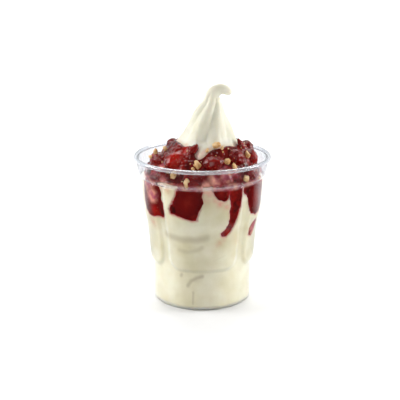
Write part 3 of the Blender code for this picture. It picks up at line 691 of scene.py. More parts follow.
def soft_serve():
    """Vanilla soft serve, frozen while churned: a soft sheen over fine ice grain.

    Where it is seen edge on behind the wall its colour is painted paler, a painted reflection of
    the wall's shine, and its creases and folds get painted shade.
    """
    names = ("pressed", "crease", "stain")
    made = new_material("vanilla_soft_serve_churned", *names)
    material, add, place, pressed, crease, stain = made
    clouds = add(NOISE, {"Vector": place, "Scale": per_metre(14.29), "Detail": 3.0})["Fac"]
    behind_wall = ((0.3, "D6CEAC"), (0.5, "E0D9BD"), (0.7, "E9E4CD"))
    in_the_air = ((0.3, "D6D3BC"), (0.5, "DEDBC8"), (0.7, "E6E4D7"))
    wall_colour = add(RAMP, {0: clouds}, behind_wall)[0]
    air_colour = add(RAMP, {0: clouds}, in_the_air)[0]
    edge_on = add("ShaderNodeLayerWeight", {"Blend": 0.5})["Facing"]
    # painted reflection: paler where the soft serve is seen edge on behind the wall, standing in
    # for the wall's shine
    painted_edge_sheen = add(RANGE, {0: edge_on, 1: 0.15, 2: 0.6, 4: 0.7})[0]
    with_painted_sheen = add(MIX, {0: painted_edge_sheen, 6: wall_colour, 7: "F4F3EF"}, data_type="RGBA")[2]
    body = add(MIX, {0: pressed, 6: air_colour, 7: with_painted_sheen}, data_type="RGBA")[2]
    # painted shade: darker where the creases and folds are marked
    shade = add(RANGE, {0: crease, 1: 0.1, 4: 0.6})[0]
    with_crease_shade = add(MIX, {0: shade, 6: body, 7: "A99C7C"}, data_type="RGBA")[2]
    patches = add(NOISE, {"Vector": place, "Scale": per_metre(2.381)})["Fac"]
    uneven = add(MATHS, {0: patches, 1: 0.5}, operation="ADD")[0]
    torn = add(MATHS, {0: uneven, 1: stain}, operation="MULTIPLY")[0]
    cover = add(RAMP, {0: torn}, ((0.0, 0.0), (0.5, 0.55), (1.0, 1.0)))[0]
    weak_to_strong = ((0.0, "C8A47C"), (0.3, "CC9270"), (0.5, "DD8C84"), (0.9, "C4303A"))
    tint = add(RAMP, {0: torn}, weak_to_strong)[0]
    # real ice grain is under 0.1 mm, and is drawn coarser so that it shows
    ice = add(NOISE, {"Vector": place, "Scale": per_metre(0.6667), "Detail": 3.0})["Fac"]
    finish_material(add, {
        "Base Color": add(MIX, {0: cover, 6: with_crease_shade, 7: tint}, data_type="RGBA")[2],
        "Normal": add(BUMP, {"Height": ice, "Strength": 0.35, "Distance": 0.0004})[0],
        "Specular IOR Level": off_the_wall(add, 0.5),
        "Roughness": 0.42,
        "IOR": 1.35,
        "Subsurface Weight": 0.25,
        "Subsurface Radius": (0.003, 0.0022, 0.0012),
    })
    return material


def syrup():
    """Strawberry sauce, cooked with sugar: wet, clear and dark where thick, pink where thin."""
    material, add, place, thick = new_material("strawberry_sauce_cooked", "thick")
    flecks = add(NOISE, {"Vector": place, "Scale": per_metre(3.03)})["Fac"]
    deep = add(RAMP, {0: flecks}, ((0.32, "3C0201"), (0.5, "5A0503"), (0.7, "800D08")))[0]
    chunk = add("ShaderNodeTexVoronoi", {"Vector": place, "Scale": 1.0 / CHUNK_SIZE})
    lot = add("ShaderNodeSeparateColor", {"Color": chunk["Color"]})[0]
    own = add(RAMP, {0: lot}, ((0.0, "2C0202"), (0.6, "6A0805"), (1.0, "AC2016")))[0]
    each = add(MIX, {0: 0.3, 6: deep, 7: own}, data_type="RGBA")[2]
    thin = add(RAMP, {0: thick}, ((0.0, 0.9), (0.25, 0.45), (0.6, 0.0)))[0]
    mixed = add(MIX, {0: thin, 6: each, 7: "A52A2E"}, data_type="RGBA")[2]
    pulp = add(NOISE, {"Vector": place, "Scale": per_metre(1.429)})["Fac"]
    finish_red(add, place, mixed, {
        "Normal": add(BUMP, {"Height": pulp, "Strength": 0.3, "Distance": 0.0005})[0],
        "Coat Roughness": 0.05,
        "Roughness": 0.15,
        "IOR": 1.42,
        "Subsurface Weight": 0.15,
        "Subsurface Radius": (0.003, 0.0006, 0.0005),
    })
    return material


def fruit():
    """Strawberries, cut and soaked in sauce: wet red skin, and cut flesh with a paler core."""
    made = new_material("strawberry_cut_soaked", "cut", "rim", "ripe")
    material, add, place, cut, rim, ripe = made
    fibre = add(NOISE, {"Vector": place, "Scale": per_metre(1.923), "Detail": 3.0})["Fac"]
    skin = add(RAMP, {0: fibre}, ((0.3, "5A0503"), (0.5, "7A0905"), (0.72, "9C150C")))[0]
    from_core = add(MATHS, {0: fibre, 1: 0.5, 2: rim}, operation="MULTIPLY_ADD")[0]
    core_to_rim = ((0.25, "A02A1C"), (0.55, "8A140B"), (1.1, "680804"))
    flesh = add(RAMP, {0: from_core}, core_to_rim)[0]
    outside = add(MIX, {0: cut, 6: skin, 7: flesh}, data_type="RGBA")[2]
    ripened = add(MIX, {0: ripe, 6: outside, 7: "5A0508"}, data_type="RGBA")[2]
    dimples = add("ShaderNodeTexVoronoi", {"Vector": place, "Scale": per_metre(2.083)})[0]
    finish_red(add, place, ripened, {
        "Normal": add(BUMP, {"Height": dimples, "Strength": 0.35, "Distance": 0.0005})[0],
        "Coat Roughness": 0.06,
        "Roughness": 0.2,
        "IOR": 1.4,
        "Subsurface Weight": 0.2,
        "Subsurface Radius": (0.0035, 0.0008, 0.0006),
    })
    return material


def seed_coat():
    """Strawberry seeds: small, hard, straw-yellow grains with a low shine."""
    material, add, place = new_material("strawberry_seeds")
    tone = add(NOISE, {"Vector": place, "Scale": per_metre(1.667)})["Fac"]
    colour = add(RAMP, {0: tone}, ((0.35, "7A1A0E"), (0.65, "A8642A")))[0]
    finish_material(add, {"Base Color": colour, "Roughness": 0.4, "IOR": 1.45})
    return material


def nut_flesh():
    """Chopped roasted peanuts: dry pale gold with browner patches, and a fine broken grain."""
    material, add, place = new_material("peanut_roasted_chopped")
    roast = add(NOISE, {"Vector": place, "Scale": per_metre(3.846), "Detail": 3.0})["Fac"]
    colour = add(RAMP, {0: roast}, ((0.3, "A46C34"), (0.45, "D2A268"), (0.65, "EBCB98")))
    # the real grain is about 0.1 mm, and is drawn coarser so that it shows
    broken = add(NOISE, {"Vector": place, "Scale": per_metre(0.4545)})["Fac"]
    finish_material(add, {
        "Base Color": colour[0],
        "Normal": add(BUMP, {"Height": broken, "Strength": 0.4, "Distance": 0.0003})[0],
        "Roughness": 0.48,
        "IOR": 1.45,
    })
    return material


def table_paper():
    """White paper: matt, with faint clouds.

    Away from the cup's foot it shows dim in the plastic's own reflection, as in a studio with
    dark boards below the picture, so that the wall doesn't veil the reds behind it.
    """
    material, add, place = new_material("table_white_paper")
    clouds = add(NOISE, {"Vector": place, "Scale": per_metre(25.0)})["Fac"]
    colour = add(RAMP, {0: clouds}, ((0.4, "F8F8F8"), (0.6, "FAFAFA")))[0]
    shines = add("ShaderNodeLightPath")["Glossy Depth"]
    is_shine = add(MATHS, {0: shines, 1: 1.0, 2: 0.5}, operation="COMPARE")[0]
    off = add(VECTORS, {0: place}, operation="LENGTH")["Value"]
    away = add(RANGE, {0: off, 1: TABLE_CLOSE[0], 2: TABLE_CLOSE[1]})[0]
    back = add("ShaderNodeSeparateXYZ", {0: place})["Y"]
    in_front = add(RANGE, {
        0: back, 1: TABLE_BEHIND[0], 2: TABLE_BEHIND[1], 3: 1.0, 4: 0.0,
    })[0]
    where = add(MATHS, {0: away, 1: in_front}, operation="MINIMUM")[0]
    dim = add(MATHS, {0: is_shine, 1: where}, operation="MULTIPLY")[0]
    dimmed = add(MIX, {0: dim, 6: colour, 7: "404244"}, data_type="RGBA")[2]
    finish_material(add, {"Base Color": dimmed, "Roughness": 0.9, "IOR": 1.3})
    return material


# ---- node trees for shapes


def run_nodes(obj, name, sizes, shape, material):
    """Run geometry nodes with an input for each size, and keep the plain result."""
    tree = bpy.data.node_groups.new(name, "GeometryNodeTree")
    for side in ("INPUT", "OUTPUT"):
        tree.interface.new_socket("Geometry", in_out=side, socket_type="NodeSocketGeometry")
    modifier = obj.modifiers.new(name, "NODES")
    modifier.node_group = tree
    for label, size in sizes.items():
        kind = "NodeSocketInt" if isinstance(size, int) else "NodeSocketFloat"
        socket = tree.interface.new_socket(label, in_out="INPUT", socket_type=kind)
        modifier[socket.identifier] = size
    add = adder(tree)
    realised = add(REALISE, {0: shape(add, add("NodeGroupInput"))})[0]
    coated = {"Geometry": realised, "Material": material}
    add("NodeGroupOutput", {0: add("GeometryNodeSetMaterial", coated)[0]})
    return applied(obj)


def raised_panels(add, given):
    """Raise even panels with round lower corners from a turned wall."""
    known = {socket.name: socket for socket in given}
    place = add("GeometryNodeInputPosition")[0]
    known["x"], known["y"], known["z"] = add("ShaderNodeSeparateXYZ", {0: place})
    for name, operation, *values in (
        ("front", "MULTIPLY", "y", -1.0),
        ("turned", "ARCTAN2", "x", "front"),
        ("half pitch", "DIVIDE", math.pi, "Panels"),
        ("from turn", "SUBTRACT", "turned", "Turn"),
        ("across", "PINGPONG", "from turn", "half pitch"),
        ("angle inside", "SUBTRACT", "Half angle", "across"),
        ("side", "MULTIPLY", "angle inside", "Mean radius"),
        ("to corner", "SUBTRACT", "Corner", "side"),
        ("short side", "MAXIMUM", "to corner", 0.0),
        ("side squared", "MULTIPLY", "short side", "short side"),
        ("above", "SUBTRACT", "z", "Foot"),
        ("up to corner", "SUBTRACT", "Corner", "above"),
        ("short foot", "MAXIMUM", "up to corner", 0.0),
        ("squares", "MULTIPLY_ADD", "short foot", "short foot", "side squared"),
        ("short", "SQRT", "squares"),
        ("inside", "SUBTRACT", "Corner", "short"),
        ("up the slope", "DIVIDE", "inside", "Slope"),
    ):
        inputs = {number: known.get(value, value) for number, value in enumerate(values)}
        known[name] = add(MATHS, inputs, operation=operation)[0]
    slope = {0: known["up the slope"], 1: -0.5, 2: 0.5, 4: given["Depth"]}
    share = add(RANGE, slope, interpolation_type="SMOOTHSTEP")[0]
    fade = {0: known["z"], 1: given["Fade from"], 2: given["Fade to"], 3: 1.0, 4: 0.0}
    faded = add(RANGE, fade, interpolation_type="SMOOTHSTEP")[0]
    rise = add(MATHS, {0: share, 1: faded}, operation="MULTIPLY")[0]
    level = add("ShaderNodeCombineXYZ", {0: known["x"], 1: known["y"]})[0]
    outwards = add(VECTORS, {0: level}, operation="NORMALIZE")[0]
    offset = add(VECTORS, {0: outwards, "Scale": rise}, operation="SCALE")[0]
    moved = {"Geometry": given["Geometry"], "Offset": offset}
    return add("GeometryNodeSetPosition", moved)[0]


def seeds_on_skin(add, given):
    """Set small seeds, pointed along the surface, on a fruit's skin."""
    cut = add("GeometryNodeInputNamedAttribute", {"Name": "cut"}, data_type="FLOAT")
    skin = {0: cut["Attribute"], 1: given["Skin below"]}
    spots = add("GeometryNodeDistributePointsOnFaces", {
        "Mesh": given["Geometry"],
        "Selection": add("FunctionNodeCompare", skin, operation="LESS_THAN")[0],
        "Distance Min": given["Spacing"],
        "Density Max": SEED_MOST,
        "Seed": given["Seed"],
    }, distribute_method="POISSON")
    ball = add("GeometryNodeMeshIcoSphere", {"Radius": 1.0, "Subdivisions": 1})[0]
    sizes = {2: SEED_SIZES[0], 3: SEED_SIZES[1], "Seed": given["Seed"]}
    size = add(RANDOM, sizes, data_type="FLOAT")[1]
    return add("GeometryNodeInstanceOnPoints", {
        "Points": spots["Points"],
        "Instance": add("GeometryNodeTransform", {"Geometry": ball, "Scale": SEED_FORM})[0],
        "Rotation": spots["Rotation"],
        "Scale": add(MATHS, {0: size, 1: given["Length"]}, operation="MULTIPLY")[0],
    })[0]


def nut_shapes(add, corners):
    """Broken pieces of nut, each the hull of a few corners on its own round form."""
    singles = []
    for number in range(NUT_SHAPES):
        within = {0: (-1.0, -1.0, -1.0), 1: (1.0, 1.0, 1.0), "Seed": number}
        corner = add(RANDOM, within, data_type="FLOAT_VECTOR")[0]
        reach = add(VECTORS, {0: corner}, operation="NORMALIZE")[0]
        form = NUT_FORMS[number % len(NUT_FORMS)]
        spot = add(VECTORS, {0: reach, 1: form}, operation="MULTIPLY")[0]
        cloud = add("GeometryNodePoints", {"Count": corners, "Position": spot})[0]
        hull = add("GeometryNodeConvexHull", {0: cloud})[0]
        rounding = {"Mesh": hull, "Level": NUT_SMOOTHING, "Edge Crease": NUT_SHARPNESS}
        fine = add("GeometryNodeSubdivisionSurface", rounding)[0]
        singles.append(add("GeometryNodeGeometryToInstance", {0: fine})[0])
    return add("GeometryNodeJoinGeometry", {0: singles})[0]


def chopped_nuts(add, given):
    """Set broken, faceted pieces of nut on points that carry their size."""
    any_turn = {0: (0.0, 0.0, 0.0), 1: (math.tau, math.tau, math.tau), "Seed": given["Seed"]}
    any_shape = {4: 0, 5: NUT_SHAPES - 1, "Seed": given["Seed"]}
    size = add("GeometryNodeInputNamedAttribute", {"Name": "size"}, data_type="FLOAT")
    placed = add("GeometryNodeInstanceOnPoints", {
        "Points": given["Geometry"],
        "Instance": nut_shapes(add, given["Corners"]),
        "Pick Instance": True,
        "Instance Index": add(RANDOM, any_shape, data_type="INT")[2],
        "Rotation": add(RANDOM, any_turn, data_type="FLOAT_VECTOR")[0],
        "Scale": add(MATHS, {0: size["Attribute"], 1: 0.5}, operation="MULTIPLY")[0],
    })[0]
    place = add("GeometryNodeInputPosition")[0]
    pace = add(MATHS, {0: 1.0, 1: given["Roughening size"]}, operation="DIVIDE")[0]
    height = add(NOISE, {"Vector": place, "Scale": pace, "Detail": 1.0})["Fac"]
    from_mean = add(MATHS, {0: height, 1: 0.5}, operation="SUBTRACT")[0]
    lift = add(MATHS, {0: from_mean, 1: given["Roughening"]}, operation="MULTIPLY")[0]
    normal = add("GeometryNodeInputNormal")[0]
    return add("GeometryNodeSetPosition", {
        "Geometry": add(REALISE, {0: placed})[0],
        "Offset": add(VECTORS, {0: normal, "Scale": lift}, operation="SCALE")[0],
    })[0]


# ---- the cup


def cup_profile():
    """The section of the cup: floor and wall inside, rim, wall and base outside."""
    heights = np.linspace(GROOVE_OUTLINE[0][0], LEDGE_FOOT, WALL_ROWS)
    wall = list(zip(smooth_outline(GROOVE_OUTLINE, heights), heights))
    ledge = softened([wall[-2], wall[-1], LEDGE_TOP[::-1], COLLAR_TOP[::-1]])
    outside = wall[:-2] + ledge
    inside = [(radius - WALL, height) for radius, height in outside]
    roll_centre = (RIM_RADIUS - RIM_ROLL, CUP_HEIGHT - RIM_ROLL)
    roll = arc(roll_centre, RIM_ROLL, *ROLL_ARC)
    roll += arc(roll_centre, RIM_ROLL - ROLL_WALL, *ROLL_INNER_ARC)[:-1]
    inner_heel = arc((FOOT_RING[1] - WALL, HEEL + WALL), HEEL - WALL, *INNER_HEEL_ARC)
    heel = arc((GROOVE_OUTLINE[0][1] - HEEL, HEEL), HEEL, *HEEL_ARC)
    floor = softened([
        (0.0, PUSH_UP + WALL),
        (PUSH_UP_RADIUS - WALL, PUSH_UP + WALL),
        (FOOT_RING[0], WALL),
        inner_heel[0],
    ])
    base = softened([heel[-1], (FOOT_RING[0], 0.0), (PUSH_UP_RADIUS, PUSH_UP), (0.0, PUSH_UP)])
    return floor + inner_heel[1:] + inside + roll + outside[::-1] + heel + base[1:]


def make_cup(material):
    """The clear cup: a turned section, with panels raised from it."""
    profile = cup_profile()
    edges = [(index, index + 1) for index in range(len(profile) - 1)]
    section = mesh_from("section", [(radius, 0.0, height) for radius, height in profile], [], edges)
    cup = add_object("clear_cup", section)
    screw = cup.modifiers.new("Turned", "SCREW")
    screw.steps = CUP_COLUMNS
    screw.render_steps = CUP_COLUMNS
    screw.use_merge_vertices = True
    screw.merge_threshold = MERGE
    run_nodes(applied(cup), "Raised panels", PANEL, raised_panels, material)
    cup.data = joined("clear_cup", [cup.data], merge=True, outwards=True)
    return finish_piece(cup, material, "clear_plastic", "cup")


# ---- marks and runs at the wall


def spots_on_wall(azimuth, height, middle):
    """Places on the cup's wall as complex numbers, in metres across from an azimuth and up."""
    return turn_apart(azimuth, middle) * WALL_PER_DEGREE + 1j * height


def spread_over(places, spots):
    """The strongest of several soft spots at each place."""
    azimuth = azimuths(places)
    strongest = 0.0
    for middle, height, spread, strength in spots:
        far = np.abs(spots_on_wall(azimuth, places[:, 2] - height * MM, middle))
        strongest = np.maximum(strongest, strength * bell(far, 0.0, spread * MM))
    return strongest


def line_on_wall(points):
    """Points in degrees from the middle and millimetres, as complex numbers in the same way."""
    return [complex(turn * WALL_PER_DEGREE, up * MM) for turn, up in points]


def line_distance(spots, line):
    """How far spots lie from a bent line."""
    nearest = np.inf
    for start, end in zip(line, line[1:]):
        way = end - start
        share = np.clip(((spots - start) * way.conjugate()).real / abs(way) ** 2, 0.0, 1.0)
        nearest = np.minimum(nearest, np.abs(spots - start - share * way))
    return nearest


def outline_distance(spots, corners):
    """How far spots lie outside a closed outline; inside it is negative."""
    ends = corners[1:] + corners[:1]
    turned = sum(np.angle((end - spots) / (start - spots)) for start, end in zip(corners, ends))
    side = np.where(np.abs(turned) > math.pi, -1.0, 1.0)
    return side * line_distance(spots, corners + corners[:1])


def run_outlines():
    """The middle azimuth of each run of sauce, and its outline on the wall."""
    outlines = [(middle, line_on_wall(corners)) for middle, corners in FRONT_RUNS]
    draw = random.Random(DRAW_SEED)
    for middle, height, half_width, half_height, lean in BACK_RUNS:
        tilt = math.radians(-lean)
        turn = complex(math.cos(tilt), math.sin(tilt))
        corners = []
        for angle in np.linspace(0.0, math.tau, RUN_CORNERS, endpoint=False):
            reach = 1.0 + draw.uniform(-RUN_CORNER_STRAY, RUN_CORNER_STRAY)
            corner = reach * complex(half_width * math.cos(angle), half_height * math.sin(angle))
            corners.append((corner * turn + 1j * height) * MM)
        outlines.append((middle, corners))
    return outlines


def sauce_distance(azimuth, height):
    """How far points of the wall lie outside the runs of sauce."""
    distance = 1.0
    for middle, corners in run_outlines():
        spots = spots_on_wall(azimuth, height, middle)
        distance = np.minimum(distance, outline_distance(spots, corners))
    points = round_axis(azimuth, PANEL["Mean radius"], height)
    return distance + RUN_WAVER * lumps(points, *RUN_LUMPS)


def run_depth(distance):
    """How thick the sauce is at the wall, with a round edge."""
    share = np.clip(-distance / RUN_EDGE, 0.0, 1.0)
    return RUN_DEPTH * np.sqrt(1.0 - (1.0 - share) ** 2)


def crease_shade_share(azimuth, height):
    """How strongly painted shade darkens the surface along the thin creases, from 0 to 1."""
    share = 0.0
    for half_width, strength, points in CREASE_SHADE_LINES:
        middle = points[0][0]
        line = line_on_wall([(turn - middle, up) for turn, up in points])
        gap = line_distance(spots_on_wall(azimuth, height, middle), line)
        share = np.maximum(share, strength * (1.0 - smoothstep(0.0, half_width * MM, gap)))
    return share


# ---- the soft serve


def middle_line(height):
    """The middle of the soft serve at a height along it, and its sideways direction."""
    shift = PEAK_SHIFT * smoothstep(PEAK_FROM - PEAK_SHIFT_OVER, PEAK_FROM, height)
    lean = HOOK_LEAN * smoothstep(HOOK_FROM - 2.0 * HOOK_RADIUS, HOOK_FROM, height)
    bend = np.maximum(height - HOOK_FROM, 0.0) / HOOK_RADIUS
    x = shift + lean + HOOK_RADIUS * (1.0 - np.cos(bend))
    z = np.minimum(height, HOOK_FROM) + HOOK_RADIUS * np.sin(bend)
    return x, z, np.cos(bend), -np.sin(bend)


def flute(azimuth, height):
    """The share of the plain radius: round ridges with narrow valleys between."""
    ridge = FLUTES * (azimuth - FLUTE_START - FLUTE_TWIST * (height - FLUTE_FROM))
    round_ridge = np.sqrt(np.cos(np.radians(ridge / 2.0)) ** 2 + FLUTE_SOFTNESS)
    strength = smoothstep(FLUTE_FROM, FLUTE_FULL, height)
    strength = strength * (1.0 - smoothstep(HOOK_FROM, FLUTE_FADES, height))
    return 1.0 + FLUTE_DEPTH * strength * (round_ridge - FLUTE_MEAN)


def cream_radius(height):
    """The plain radius of the soft serve, with its round tip."""
    last_height, last_radius = CREAM_OUTLINE[-1]
    share = np.clip((height - last_height) / (CREAM_END - last_height), 0.0, 1.0)
    tip = last_radius * np.sqrt(1.0 - share * share)
    return np.where(height < last_height, smooth_outline(CREAM_OUTLINE, height), tip)


def on_cream(azimuth, height):
    """Points of the soft serve above the ledge."""
    reach = cream_radius(height) * flute(azimuth, height) + swelled(azimuth, height, SWELLS)
    x, z, level, climb = middle_line(height)
    across = np.sin(np.radians(azimuth)) * reach
    back = -np.cos(np.radians(azimuth)) * reach
    return np.stack((x + level * across, back, z + climb * across), axis=-1)


def cream_cone(azimuth):
    """Rows of points from the tip of the peak down to the ledge."""
    share = np.linspace(0.0, 1.0, CREAM_TOP_ROWS)[:, None] ** CREAM_ROW_CROWDING
    height = CREAM_END + (CREAM_OUTLINE[0][0] - CREAM_END) * share
    cone = on_cream(azimuth, height)
    tip_share = smoothstep(0.0, CREAM_SMOOTH_TIP, cream_radius(height))
    ruffle = CREAM_RUFFLE * draws(cone, CREAM_RUFFLE_SIZE) * tip_share
    return cone + round_axis(azimuth, ruffle, 0.0)


def cream_fill(azimuth):
    """Rows of points down the wall and over the cup's floor."""
    height = np.linspace(LEDGE_FOOT, GROOVE_OUTLINE[0][0], CREAM_WALL_ROWS)[:, None]
    sunk = np.maximum(run_depth(sauce_distance(azimuth, height)) - RUN_OVERLAP, 0.0)
    drawn_in = swelled(azimuth, height, FOLDS) + sunk
    wall = inner_wall(azimuth, height) + CREAM_REACH - drawn_in
    inset = WALL - CREAM_REACH
    under = arc((FOOT_RING[1] - inset, HEEL + inset), HEEL - WALL, *CREAM_HEEL_ARC)
    under += [(FOOT_RING[0], inset), (PUSH_UP_RADIUS - inset, PUSH_UP + inset)]
    under += [(PUSH_UP_RADIUS * part, PUSH_UP + inset) for part in CREAM_FLOOR_RINGS]
    radius, floor = np.array(under).T[:, :, None]
    return np.concatenate([round_axis(azimuth, wall, height), round_axis(azimuth, radius, floor)])


def make_cream(material):
    """The soft serve: the cone with its peak, and the fill pressed to the wall."""
    around = whole_turn(CREAM_COLUMNS)
    mesh = closed_grid("cream", np.concatenate([cream_cone(around), cream_fill(around)]))
    places = vectors(mesh.vertices, "co")
    azimuth, height = azimuths(places), places[:, 2]
    pressed = height < LEDGE_FOOT + CREAM_REACH
    turns = np.arange(-180.0, 181.0)
    above_sauce = height - np.interp(azimuth, turns, ring_edges(turns)[1])
    beside_sauce = sauce_distance(azimuth, height)
    top_stain = TOP_STAIN * (1.0 - smoothstep(0.0, TOP_STAIN_REACH, above_sauce))
    wall_stain = STAIN_STRENGTH * (1.0 - smoothstep(0.0, STAIN_REACH, beside_sauce))
    stain = np.where(pressed, wall_stain, top_stain)
    # folds and creases at the wall are marked for painted shade
    folds = swelled(azimuth, height, FOLDS) / FOLD_DARKEST
    crease = np.where(pressed, np.maximum(folds, crease_shade_share(azimuth, height)), 0.0)
    stain = np.maximum(stain, spread_over(places, STAINS))
    mark(mesh, stain=stain, pressed=pressed, crease=crease)
    return finish_piece(add_object("cream", mesh), material, "vanilla_soft_serve", "soft_serve")


# ---- the sauce


def cone_points(azimuth, height):
    """Points on the cone of soft serve, and the directions out of it."""
    point = on_cream(azimuth, height)
    uphill = on_cream(azimuth, height + CONE_STEP) - point
    level = np.radians(azimuth) + 0.0 * height
    sideways = np.stack((np.cos(level), np.sin(level), 0.0 * level), axis=-1)
    out = np.cross(sideways, uphill)
    return point, out / np.linalg.norm(out, axis=-1, keepdims=True)


def chunks(points):
    """Round lumps, as of fruit chopped into the sauce."""
    crease = []
    for point in points.reshape(-1, 3) / CHUNK_SIZE:
        near, next_near = noise.voronoi(point)[0][:2]
        crease.append(next_near - near)
    rise = smoothstep(0.0, CHUNK_CREASE, np.array(crease)).reshape(points.shape[:-1])
    return CHUNK_RISE * (rise - CHUNK_MEAN)


def ring_edges(azimuth):
    """The heights of the sauce's foot and top on the cone."""
    ways = [Vector(way) for way in round_axis(azimuth.ravel(), 1.0, 0.0)]
    foot = [noise.noise(way * FOOT_RIPPLE_PACE) for way in ways]
    top = [noise.noise(way * TOP_RIPPLE_PACE + TOP_RIPPLE_START) for way in ways]
    middle, half_width, drop = CREAM_TONGUE
    foot, top = (np.array(edge).reshape(azimuth.shape) for edge in (foot, top))
    tongue = drop * hump(azimuth, middle, half_width)
    return SAUCE_FOOT + FOOT_RIPPLE * foot, SAUCE_TOP + TOP_RIPPLE * top - tongue


def sauce_ring():
    """The closed ring of sauce round the cone, and sunk into it."""
    azimuth = whole_turn(RING_COLUMNS)
    share = np.linspace(0.0, 1.0, RING_ROWS)[:, None]
    foot, top = ring_edges(azimuth)
    point, out = cone_points(azimuth, foot + (top - foot) * share)
    lump = 1.0 + SAUCE_LUMP * draws(point, SAUCE_LUMP_SIZE)
    bulge = np.sqrt(np.maximum(0.0, 4.0 * share * (1.0 - share)))
    swell = SAUCE_EDGE_SHARE + (1.0 - SAUCE_EDGE_SHARE) * bulge
    thickness = SAUCE_THICKNESS * swell * lump + chunks(point) * bulge
    outer = point + out * thickness[..., None]
    inner = (point - out * RING_SUNK)[::-RING_INNER_STEP]
    return closed_grid("ring", np.concatenate([outer, inner]), closed_rows=True)


def sauce_runs():
    """Closed sheets of sauce that has run down the wall."""
    height, azimuth = np.broadcast_arrays(
        np.arange(*RUN_ROWS)[:, None], whole_turn(RUN_COLUMNS, -180.0)
    )
    distance = sauce_distance(azimuth, height)
    band = np.minimum(inner_collar(azimuth, height) + SAUCE_REACH, LEDGE_BAND)
    reach = np.where(height > LEDGE_FOOT, band, inner_wall(azimuth, height) + SAUCE_REACH)
    depth = np.maximum(run_depth(distance), RUN_LEAST_DEPTH)
    outer, inner = (round_axis(azimuth, radius, height) for radius in (reach, reach - depth))
    quads = grid_faces(*distance.shape)
    quads = quads[(distance.ravel() < 0.0)[quads].all(axis=-1)]
    edges = np.stack((np.roll(quads, -1, axis=1), quads), axis=-1).reshape(-1, 2)
    first, times = np.unique(np.sort(edges), axis=0, return_index=True, return_counts=True)[1:]
    rim = edges[first[times == 1]]
    behind = distance.size
    faces = [quads, quads[:, ::-1] + behind, np.hstack((rim, rim[:, ::-1] + behind))]
    points = np.concatenate([outer.reshape(-1, 3), inner.reshape(-1, 3)])
    used, faces = np.unique(np.concatenate(faces), return_inverse=True)
    mesh = mesh_from("runs", points[used].tolist(), faces.reshape(-1, 4).tolist())
    return joined("runs", [mesh], outwards=True)


def press_to_wall(mesh, places, reach, within):
    """Set what is close to the cup's wall just into it, and mark it."""
    radius = np.hypot(places[:, 0], places[:, 1])
    wall = inner_wall(azimuths(places), places[:, 2])
    touching = (places[:, 2] < PRESSED_BELOW) & (radius > wall - within)
    set_radius(mesh, places, np.where(touching, wall + reach, radius))
    mark(mesh, pressed=touching)
    return vectors(mesh.vertices, "co")


def make_sauce(material):
    """The sauce: its ring on the cone and its runs down the wall."""
    sauce = add_object("sauce", joined("sauce", [sauce_ring(), sauce_runs()]))
    mesh = remeshed(sauce, SAUCE_VOXEL, SAUCE_SMOOTHING).data
    places = press_to_wall(mesh, vectors(mesh.vertices, "co"), SAUCE_REACH, SAUCE_WITHIN)
    height = places[:, 2]
    from_edge = smoothstep(0.0, RUN_EDGE, -sauce_distance(azimuths(places), height))
    # a painted highlight: the sauce is painted paler in a band along the ledge
    highlight_height, spread, strength = LEDGE_HIGHLIGHT_BAND
    ledge_highlight = strength * bell(height, highlight_height, spread)
    # pale: paler flesh, and painted reflection and highlight where marked
    mark(
        mesh,
        thick=np.where(height < LEDGE_FOOT, from_edge, 1.0),
        pale=np.maximum(ledge_highlight, spread_over(places, PALE_AND_SHEEN_SPOTS)),
        bright=spread_over(places, BRIGHT_SPOTS),
    )
    return finish_piece(sauce, material, "strawberry_sauce", "strawberry_sauce")


# ---- strawberries


def cut_direction(mesh):
    """The direction that a strawberry's cut faces look in."""
    normals = vectors(mesh.polygons, "normal")
    areas = np.array([polygon.area for polygon in mesh.polygons])
    even = np.abs(normals @ normals.T) > CUT_EVEN
    return normals[np.argmax(even @ areas)]


def from_core(places, axis):
    """How far each place is from a strawberry's core, as a share of its size."""
    flat = places - places.mean(axis=0)
    flat = flat - np.outer(flat @ axis, axis)
    long_axis = np.linalg.eigh(flat.T @ flat)[1][:, -1]
    across = np.abs(flat @ np.cross(axis, long_axis))
    along = np.abs(flat @ long_axis)
    return np.hypot(across / across.max(), CORE_LENGTH * along / along.max())


def make_berry(name, number, material):
    """One cut strawberry, made again from its CAD node."""
    rough = joined(name, [NODES[name].data], merge=True)
    axis = cut_direction(rough)
    berry = add_object(name.replace("strawberry", "berry"), rough)
    mesh = remeshed(berry, BERRY_VOXEL, BERRY_SMOOTHING).data
    places, normals = vectors(mesh.vertices, "co"), vectors(mesh.vertex_normals, "vector")
    places = places + normals * (BERRY_GRAIN * lumps(places, *BERRY_LUMPS))[:, None]
    places = press_to_wall(mesh, places, BERRY_REACH, BERRY_WITHIN)
    ripe = 0.5 + 0.5 * noise.noise(Vector((number * RIPE_STEP, *RIPE_START)))
    # the pale mark is partly paler flesh and partly painted reflection and highlight
    mark(
        mesh,
        cut=smoothstep(*CUT_EDGE, np.abs(normals @ axis)),
        rim=from_core(places, axis),
        pale=spread_over(places, PALE_AND_SHEEN_SPOTS),
        bright=spread_over(places, BRIGHT_SPOTS),
        ripe=np.full(len(places), ripe),
    )
    return finish_piece(berry, material, "strawberry_fruit", name)


def make_seeds(berries, material):
    """The seeds of all the strawberries, as one piece."""
    seeds = add_object("seeds", joined("seeds", [berry.data for berry in berries]))
    run_nodes(seeds, "Seeds on skin", SEEDS, seeds_on_skin, material)
    return finish_piece(seeds, material, "strawberry_fruit")


# ---- chopped nuts


def seen_nuts(camera, carriers):
    """The nuts that the photo shows, as (place, size)."""
    shown = surface_tree(joined("carriers", carriers))
    turn = camera.rotation_euler.to_matrix()
    centre = PHOTO_PIXELS / 2.0
    spots = []
    for across, down, size in NUTS_SEEN:
        way = turn @ Vector((across - centre, centre - down, -FOCAL_PIXELS))
        spot, normal = shown.ray_cast(camera.location, way.normalized())[:2]
        if spot is not None:
            spots.append((spot + normal * size * NUT_RISE, size))
    return spots


